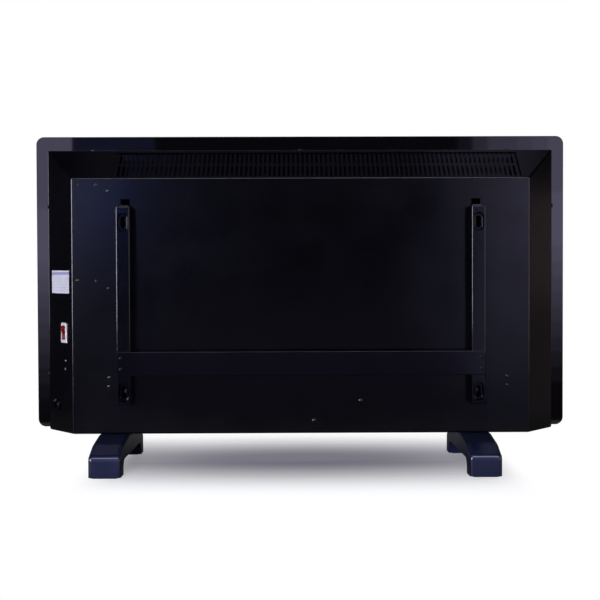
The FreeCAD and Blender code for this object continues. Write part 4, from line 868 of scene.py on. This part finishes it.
@dataclass
class PowerSwitch(SubAssembly):
    """The mains rocker with its printed marks.

    Attributes:
        pivot: the rocker's pivot.
        clear: distance before the pivot from which the rocker's face is looked for.
        offset: distance of a mark from the pivot along Z.
        bar: width and height of the bar.
        bar_nose: size of its eased corners.
        ring: outer radius of the ring and width of its band.
        proud: thickness of the print.
        sunk: how far the print's back lies in the plastic.
    """

    finishes: Finishes = dressed(switch_body=WHITE_PLASTIC, switch_tabs=BRASS, power_rocker=RED_PLASTIC)
    pivot: Point = (0.361865, 0.014130, 0.2056)
    clear: float = 0.03
    offset: float = 0.0060
    bar: Span = (0.0007, 0.0036)
    bar_nose: float = 0.0002
    ring: Span = (0.0019, 0.00045)
    proud: float = 0.0002
    sunk: float = 0.00008

    def on_rocker(self, level: float) -> Matrix:
        """Finds the rocker's face at a height.

        Args:
            level: distance over the pivot.

        Returns:
            The place of a mark there.
        """
        eye = Vector(self.pivot) + WALL_OUT * self.clear + UP * level
        _, at, normal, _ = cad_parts["power_rocker"].ray_cast(eye, -WALL_OUT)
        return facing(at - normal * self.sunk, normal, UP)

    def build(self) -> None:
        """Prints the bar and the ring."""
        bar = settle(flat_bar("on_bar", *self.bar, self.proud, self.bar_nose), self.on_rocker(self.offset))
        ring = settle(flat_ring("off_ring", *self.ring, self.proud), self.on_rocker(-self.offset))
        self.keep(gather("rocker_marks", [bar, ring]), Body.ROCKER, SWITCH_PRINT, "white_plastic")


@dataclass
class Feet(SubAssembly):
    """The two moulded feet with their pads and plates."""

    finishes: Finishes = dressed(
        foot_left=FOOT_PLASTIC, foot_right=FOOT_PLASTIC, foot_pads=RUBBER, foot_plates=SHEET_STEEL)


@dataclass
class WallBracket(SubAssembly):
    """The two uprights and the bar that joins them."""

    finishes: Finishes = dressed(
        upright_left=BRACKET_PAINT, upright_right=BRACKET_PAINT, cross_bar=BRACKET_PAINT,
        bracket_rivets=BAR_RIVET_PAINT)


class ScrewKind(NamedTuple):
    """A kind of screw: the node it stands in for, its head's radius and height, its shank's radius, and its looks."""

    node: str
    radius: float
    rise: float
    shank: float
    finish: Finish
    slot: str


@dataclass
class Fasteners(SubAssembly):
    """Screws with cross recesses, in place of the plain ones.

    Attributes:
        kinds: the kinds of screw.
        sides: sides of a round.
        crown: share of the head's height that its edge is rounded by.
        tip: how far the shank's end narrows and how long it is, as shares of the shank's radius.
        recess: size of what cuts a bar of the recess, as shares of the head's radius, its radius and its height.
        smooth: angle up to which faces are shaded as one, in radians.
        first_turn: how far the first screw is turned home, in radians.
        turn_step: how much further the next one is.
    """

    kinds: tuple[ScrewKind, ...] = (
        ScrewKind("rim_screws", 0.0034, 0.0018, 0.0017, CASE_PAINT, "black_paint"),
        ScrewKind("lock_screws", 0.0040, 0.0026, 0.0020, ZINC, "zinc_steel"),
        ScrewKind("foot_screws", 0.0044, 0.0030, 0.0024, ZINC, "zinc_steel"),
    )
    sides: int = 32
    crown: float = 0.42
    tip: Span = (0.3, 0.4)
    recess: Triple = (1.05, 0.27, 1.2)
    smooth: float = math.radians(35.0)
    first_turn: float = math.radians(17.0)
    turn_step: float = math.radians(53.0)

    def cut_bar(self, screw: Piece, kind: ScrewKind, turn: float) -> None:
        """Cuts one bar of the cross recess into a screw's head.

        Args:
            screw: the screw.
            kind: which screw it is.
            turn: the bar's angle about Z, in radians.
        """
        length, width, depth = self.recess
        cutter = start("recess", bpy.ops.mesh.primitive_cube_add, size=1.0)
        cutter.scale = (kind.radius * length, kind.radius * width, kind.rise * depth)
        settle(cutter, Matrix.Translation((0.0, 0.0, kind.rise)) @ Matrix.Rotation(turn, 4, "Z"))
        choose(screw)
        cut = screw.modifiers.new("recess", "BOOLEAN")
        cut.operation = "DIFFERENCE"
        cut.solver = "EXACT"
        cut.object = cutter
        bpy.ops.object.modifier_apply(modifier=cut.name)
        bpy.data.objects.remove(cutter)

    def model(self, kind: ScrewKind, length: float) -> Piece:
        """Models a screw with its bearing face at the origin and its head towards +Z.

        Args:
            kind: which screw it is.
            length: length of the shank.

        Returns:
            The screw.
        """
        narrowing, tip = (share * kind.shank for share in self.tip)
        screw = start(f"{kind.node}_crossed", bpy.ops.mesh.primitive_cylinder_add, vertices=self.sides,
                      radius=kind.radius, depth=kind.rise, location=(0.0, 0.0, kind.rise / 2))
        settle(screw, Matrix.Identity(4))
        with editing(screw):
            pick(screw, lambda face: face.normal.z > LEVEL)
            bpy.ops.mesh.bevel(offset=kind.rise * self.crown, segments=CORNER_STEPS, affect="EDGES")
            pick(screw, lambda face: face.normal.z < -LEVEL)
            bpy.ops.mesh.inset(thickness=kind.radius - kind.shank, depth=0.0)
            bpy.ops.mesh.extrude_region_move(TRANSFORM_OT_translate={"value": (0.0, 0.0, tip - length)})
            bpy.ops.mesh.inset(thickness=narrowing, depth=tip)
        for turn in (0.0, QUARTER_TURN):
            self.cut_bar(screw, kind, turn)
        choose(screw)
        bpy.ops.object.shade_smooth_by_angle(angle=self.smooth)
        return screw

    def seat(self, low: Vector, high: Vector, rise: float, number: int) -> Matrix:
        """Gives the place of a screw, whose head faces away from the middle of the heater.

        Args:
            low: lowest corner of the plain screw.
            high: its highest corner.
            rise: height of its head.
            number: its number among its kind.

        Returns:
            The matrix.
        """
        sizes, middle = high - low, (low + high) / 2
        axis = max(range(3), key=lambda i: sizes[i])
        inner = (CAD_BOX[0][axis] + CAD_BOX[1][axis]) / 2
        out = Vector((0.0, 0.0, 0.0))
        out[axis] = math.copysign(1.0, middle[axis] - inner)
        up = REAR if axis == 2 else UP
        turn = Matrix.Rotation(self.first_turn + number * self.turn_step, 4, "Z")
        return facing(middle + out * (sizes[axis] / 2 - rise), out, up) @ turn

    def build(self) -> None:
        """Makes each kind of screw where the frame has it."""
        for kind in self.kinds:
            boxes = islands(kind.node)
            low, high = boxes[0]
            places = [self.seat(*box, kind.rise, number) for number, box in enumerate(boxes)]
            screws = repeat(self.model(kind, max(high - low) - kind.rise), places)
            self.keep(screws, Body.HEATER, kind.finish, kind.slot, kind.node)


@dataclass(frozen=True)
class Lamp:
    """A flat softbox.

    Attributes:
        name: its name.
        at: its middle.
        aim: the point that it faces.
        size: its width and height.
        power: its brightness, where one is a white surface.
        colour: its colour.
        rays: which surfaces it lights.
    """

    name: str
    at: Point
    aim: Point
    size: Span
    power: float
    colour: Colour
    rays: Rays = Rays.GLOSSY

    def hang(self) -> None:
        """Adds the light."""
        light = bpy.data.lights.new(self.name, "AREA")
        light.shape = "RECTANGLE"
        light.size, light.size_y = self.size
        light.energy = WHITE_WATTS * math.prod(self.size) * self.power
        light.color = self.colour
        lamp = bpy.data.objects.new(self.name, light)
        lamp.matrix_world = facing(Vector(self.at), Vector(self.at) - Vector(self.aim), LAMP_UP)
        lamp.visible_diffuse, lamp.visible_glossy = self.rays.value
        bpy.context.scene.collection.objects.link(lamp)


# Softboxes: where the boxes stand along Y, where cards stand that a box would hide, and colours that several share.
BOX_AWAY = 3.0
CARD_AWAY = 2.97
BOX_COLOUR = (0.70, 0.65, 1.0)
PAPER_COLOUR = (0.86, 0.84, 1.0)
CEILING_COLOUR = (0.70, 0.68, 1.0)
WINDOW_COLOUR = (0.80, 0.82, 1.0)
WARM_COLOUR = (1.0, 0.76, 0.80)


def card(name: str, across: float, level: float, size: Span, power: float, colour: Colour,
         away: float = BOX_AWAY) -> Lamp:
    """Gives a softbox that stands upright and faces along Y, by default from behind the camera."""
    return Lamp(name, (across, away, level), (across, 0.0, level), size, power, colour)


@dataclass(frozen=True)
class GradedBox:
    """A tall softbox behind the camera that dims towards the floor, hung as rows.

    Attributes:
        name: what the rows are called.
        ends: its ends along X.
        rise: how far its rows are moved up.
        levels: where its dim rows begin and end, and where each of the two bright rows over them ends.
        steps: how many dim rows there are.
        curve: power of the curve that they brighten by.
        powers: brightness that they rise to, and of each bright row.
    """

    name: str
    ends: Span
    rise: float = 0.0
    levels: tuple[float, float, float, float] = (-0.31, 0.36, 0.60, 2.05)
    steps: int = 10
    curve: float = 1.7
    powers: Triple = (1.85, 1.95, 1.60)

    def rows(self) -> list[Lamp]:
        """Works out the rows.

        Returns:
            The lamps, from the foot up.
        """
        foot, knee, crest, head = self.levels
        risen, brightest, highest = self.powers
        step = (knee - foot) / self.steps
        rows = [(foot + n * step, foot + (n + 1) * step, risen * ((n + 0.5) / self.steps) ** self.curve)
                for n in range(self.steps)]
        rows += [(knee, crest, brightest), (crest, head, highest)]
        low, high = self.ends
        return [card(f"{self.name}_{number}", (low + high) / 2, (bottom + top) / 2 + self.rise,
                     (high - low, top - bottom), power, BOX_COLOUR)
                for number, (bottom, top, power) in enumerate(rows)]


@dataclass(frozen=True)
class FeatheredEdge:
    """Columns that dim away from the side of a softbox, towards +X.

    Attributes:
        name: what the columns are called.
        side: where the first column begins.
        powers: brightness of each column.
        step: width of a column.
        reach: where the columns begin and end along Z.
    """

    name: str
    side: float
    powers: tuple[float, ...]
    step: float = 0.0665
    reach: Span = (0.45, 2.05)

    def columns(self) -> list[Lamp]:
        """Gives the lamps, from the side of the softbox on."""
        bottom, top = self.reach
        return [card(f"{self.name}_{number}", self.side + (number + 0.5) * self.step, (bottom + top) / 2,
                     (self.step, top - bottom), power, BOX_COLOUR)
                for number, power in enumerate(self.powers)]


SOFTBOXES = (
    Lamp("rear_key", (0.0, -0.50, 2.0), (0.0, -0.50, 0.0), (1.1, 0.6), 2.6, WHITE, Rays.MATT),
    Lamp("front_key", (0.0, 0.60, 2.0), (0.0, 0.60, 0.0), (1.1, 0.7), 0.5, WHITE, Rays.MATT),
    Lamp("front_fill", (0.5, 2.5, 0.42), (0.0, 0.0, 0.20), (0.8, 0.3), 64.0, (0.86, 0.87, 1.0), Rays.MATT),
    Lamp("overhead_strip", (0.0, 1.5, 1.7), (0.0, 0.0, 0.3), (1.8, 0.4), 14.0, PAPER_COLOUR),
    Lamp("left_edge", (2.2, 1.5, 0.65), (0.0, 0.0, 0.3), (0.8, 1.1), 50.0, (0.82, 0.82, 1.0)),
    Lamp("right_edge", (-2.2, 1.5, 0.55), (0.0, 0.0, 0.3), (0.8, 1.1), 8.0, PAPER_COLOUR),
    *GradedBox("left_box", (0.985, 2.30)).rows(),
    *GradedBox("right_box", (-2.30, -1.118), rise=0.0665).rows(),
    *FeatheredEdge("right_wing", -1.118, (1.27, 1.07, 0.88, 0.85, 0.50, 0.10)).columns(),
    card("left_haze", 0.80, 1.25, (0.36, 0.80), 0.22, (0.28, 0.36, 1.0)),
    card("left_card", 0.885, 0.72, (0.20, 0.24), 6.60, (0.20, 0.30, 1.0)),
    card("left_card_low", 0.885, 0.43, (0.20, 0.34), 1.20, (0.18, 0.28, 1.0)),
    card("right_card", -0.955, 0.60, (0.24, 0.44), 2.40, (0.58, 0.58, 1.0), away=CARD_AWAY),
    card("right_card_low", -0.93, 0.10, (0.34, 0.56), 1.60, (0.60, 0.60, 1.0), away=CARD_AWAY),
    Lamp("ceiling", (-0.58, -0.35, 2.1), (-0.58, -0.35, 0.0), (0.35, 0.8), 0.36, CEILING_COLOUR),
    Lamp("ceiling_dim", (0.15, -0.35, 2.1), (0.15, -0.35, 0.0), (1.0, 0.8), 0.10, CEILING_COLOUR),
    card("low_glow", 0.0, -0.03, (1.5, 0.24), 0.34, (0.74, 0.60, 1.0)),
    card("floor_glow", 0.0, -0.32, (1.5, 0.34), 0.08, (0.74, 0.68, 1.0)),
    card("glass_box", -1.9, 0.4, (1.0, 2.6), 0.50, WINDOW_COLOUR, away=-BOX_AWAY),
    card("glass_strip", 1.9, 0.4, (0.6, 2.6), 0.25, WINDOW_COLOUR, away=-BOX_AWAY),
    Lamp("cool_side", (2.2, -0.7, 0.5), (0.0, 0.0, 0.3), (0.9, 1.2), 0.018, (0.60, 0.66, 1.0)),
    Lamp("warm_side", (-2.2, -0.7, 0.40), (0.0, 0.0, 0.40), (0.9, 0.36), 0.22, WARM_COLOUR),
    Lamp("warm_side_low", (-2.2, -0.7, -0.04), (0.0, 0.0, -0.04), (0.9, 0.52), 0.10, WARM_COLOUR),
)


@dataclass
class Studio:
    """The floor, the lights and the camera.

    Attributes:
        eye: the camera's place.
        turns: its turns about its own Y, X and Z, one after the other, in degrees.
        focus: its focal length in pixels of the picture.
        floor_size: the floor's size along X and Y.
        floor_at: its middle, a little under the pads.
        floor_white: its colour.
        floor_lift: light that it adds where it is looked at.
        painted_shadow_middle: where the darkest line of the shadow painted under the heater lies, along Y.
        painted_shadow_stretch: factor on the painted shadow's distances along each axis.
        painted_shadow_edge: distances between which the painted shadow ends.
        painted_shadow_colour: the floor's colour in the middle of the painted shadow.
        floor_mirror: how much of the floor a glossy surface mirrors, under the heater and before its toes.
        mirror_step: distances along Y between which the one turns into the other.
        floor_fade: distances between which the floor turns into the white backdrop.
        fade_stretch: factor on those distances along each axis.
        floor_sides: distances to the side between which it does so.
        ambient: brightness of the room.
        ambient_colour: its colour.
        backdrop: brightness of the backdrop where it is mirrored.
        gloom: brightness of the rest of the room where it is mirrored.
        mirror_colour: colour of both.
        backdrop_reach: directions along Y between which the backdrop turns into the rest of the room.
        lamps: the softboxes.
    """

    eye: Point = (0.01217, 1.6451, 0.2881)
    turns: Triple = (-0.378, -1.180, -0.196)
    focus: float = 1062.7
    floor_size: Span = (1.9, 1.2)
    floor_at: Point = (0.0, -0.18, -0.0003)
    floor_white: float = 0.86
    floor_lift: float = 0.80
    # A shadow painted into the floor's colour under the heater.
    painted_shadow_middle: float = -0.045
    painted_shadow_stretch: Point = (0.36, 1.0, 1.0)
    painted_shadow_edge: Span = (0.03, 0.287)
    painted_shadow_colour: Colour = (0.175, 0.17, 0.20)
    floor_mirror: Span = (0.085, 0.42)
    mirror_step: Span = (0.10, 0.16)
    floor_fade: Span = (0.24, 0.36)
    fade_stretch: Point = (0.45, 1.0, 1.0)
    floor_sides: Span = (0.262, 0.335)
    ambient: float = 0.05
    ambient_colour: Colour = (0.94, 0.95, 1.0)
    backdrop: float = 0.06
    gloom: float = 0.022
    mirror_colour: Colour = (0.84, 0.84, 1.0)
    backdrop_reach: Span = (-0.95, -0.5)
    lamps: tuple[Lamp, ...] = SOFTBOXES

    def build(self) -> None:
        """Sets up the stage."""
        self.lay_floor()
        self.fill_world()
        for lamp in self.lamps:
            lamp.hang()
        self.aim_camera()
        bpy.context.scene.view_settings.view_transform = "Standard"

    def floor_paint(self, tree: Tree) -> Socket:
        """Gives the floor's colour: a shadow painted into it under the heater, and darker where a glossy surface
        mirrors it.

        Args:
            tree: the tree to build in.

        Returns:
            The colour socket.
        """
        # Painted shadow: the floor's colour darkens in a band under the heater, on top of the shadow the lamps cast;
        # it darkens the added light too.
        reach = tree.length(tree.place(self.painted_shadow_stretch, (0.0, self.painted_shadow_middle, 0.0)))
        open_floor = tree.spread(reach, (*self.painted_shadow_edge, 0.0, 1.0), Ease.SOFT)
        shade = tree.blend(open_floor, solid(self.painted_shadow_colour), solid((self.floor_white,) * 3))
        kept = tree.spread(tree.along("Y"), (*self.mirror_step, *self.floor_mirror))
        glossy = tree.add("LightPath").outputs["Is Glossy Ray"]
        dark = tree.maths("MULTIPLY", glossy, tree.maths("SUBTRACT", 1.0, kept))
        return tree.blend(dark, shade, solid(BLACK))

    def floor_fading(self, tree: Tree) -> Socket:
        """Gives how far the floor has turned into the white backdrop, for the camera alone.

        Args:
            tree: the tree to build in.

        Returns:
            The value socket.
        """
        far = tree.spread(tree.length(tree.place(self.fade_stretch)), (*self.floor_fade, 0.0, 1.0), Ease.SOFT)
        aside = tree.maths("ABSOLUTE", tree.along("X"))
        beside = tree.spread(aside, (*self.floor_sides, 0.0, 1.0), Ease.SOFT)
        return tree.maths("MULTIPLY", tree.maths("MAXIMUM", far, beside), tree.from_camera())

    def lay_floor(self) -> None:
        """Lays the pale floor, as far towards the camera as the picture shows it."""
        floor = start("studio_floor", bpy.ops.mesh.primitive_plane_add, size=1.0)
        floor.scale = (*self.floor_size, 1.0)
        settle(floor, Matrix.Translation(self.floor_at))
        made, tree = node_material("studio_floor")
        paint = self.floor_paint(tree)
        matt = tree.add("BsdfDiffuse", {"Color": paint}).outputs[0]
        looked_at = tree.maths("MAXIMUM", tree.from_camera(), tree.mirrored())
        lift = tree.shine("Emission", paint, tree.maths("MULTIPLY", looked_at, self.floor_lift))
        near = tree.add("AddShader", {0: matt, 1: lift}).outputs[0]
        white = tree.shine("Emission", solid(WHITE), 1.0)
        shown = tree.add("MixShader", {0: self.floor_fading(tree), 1: near, 2: white})
        tree.add("OutputMaterial", {"Surface": shown.outputs[0]})
        floor.data.materials.append(made)

    def fill_world(self) -> None:
        """Makes the room: white to the camera, and a backdrop in a dim room to mirrors."""
        world = bpy.data.worlds.new("studio_room")
        world.use_nodes = True
        bpy.context.scene.world = world
        tree = Tree(world.node_tree)
        depth = tree.add("SeparateXYZ", {0: tree.add("TexCoord").outputs["Generated"]}).outputs["Y"]
        strength = tree.spread(depth, (*self.backdrop_reach, self.backdrop, self.gloom))
        in_mirrors = tree.shine("Background", solid(self.mirror_colour), strength)
        around = tree.shine("Background", solid(self.ambient_colour), self.ambient)
        white = tree.shine("Background", solid(WHITE), 1.0)
        room = tree.add("MixShader", {0: tree.mirrored(), 1: around, 2: in_mirrors}).outputs[0]
        shown = tree.add("MixShader", {0: tree.from_camera(), 1: room, 2: white})
        tree.add("OutputWorld", {"Surface": shown.outputs[0]})

    def aim_camera(self) -> None:
        """Sets the camera where the picture was taken from."""
        camera = bpy.data.objects.new("camera", bpy.data.cameras.new("camera"))
        camera.data.sensor_width = SENSOR_MM
        camera.data.lens = self.focus / PICTURE_PIXELS * SENSOR_MM
        place = facing(Vector(self.eye), REAR, UP)
        for angle, axis in zip(self.turns, "YXZ"):
            place = place @ Matrix.Rotation(math.radians(angle), 4, axis)
        camera.matrix_world = place
        bpy.context.scene.collection.objects.link(camera)
        bpy.context.scene.camera = camera


def main() -> None:
    """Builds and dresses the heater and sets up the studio."""
    logging.basicConfig(level=logging.INFO, format="%(message)s")
    for group in (GlassFront(), HeatingUnit(), Electrics(), RearCase(), PowerSwitch(), Feet(), WallBracket(),
                  Fasteners()):
        group.build()
        group.dress()
        for piece in group.pieces():
            LOG.info("%s: %s with %d faces", type(group).__name__, piece.name, len(piece.data.polygons))
    Studio().build()


if __name__ == "__main__":
    main()
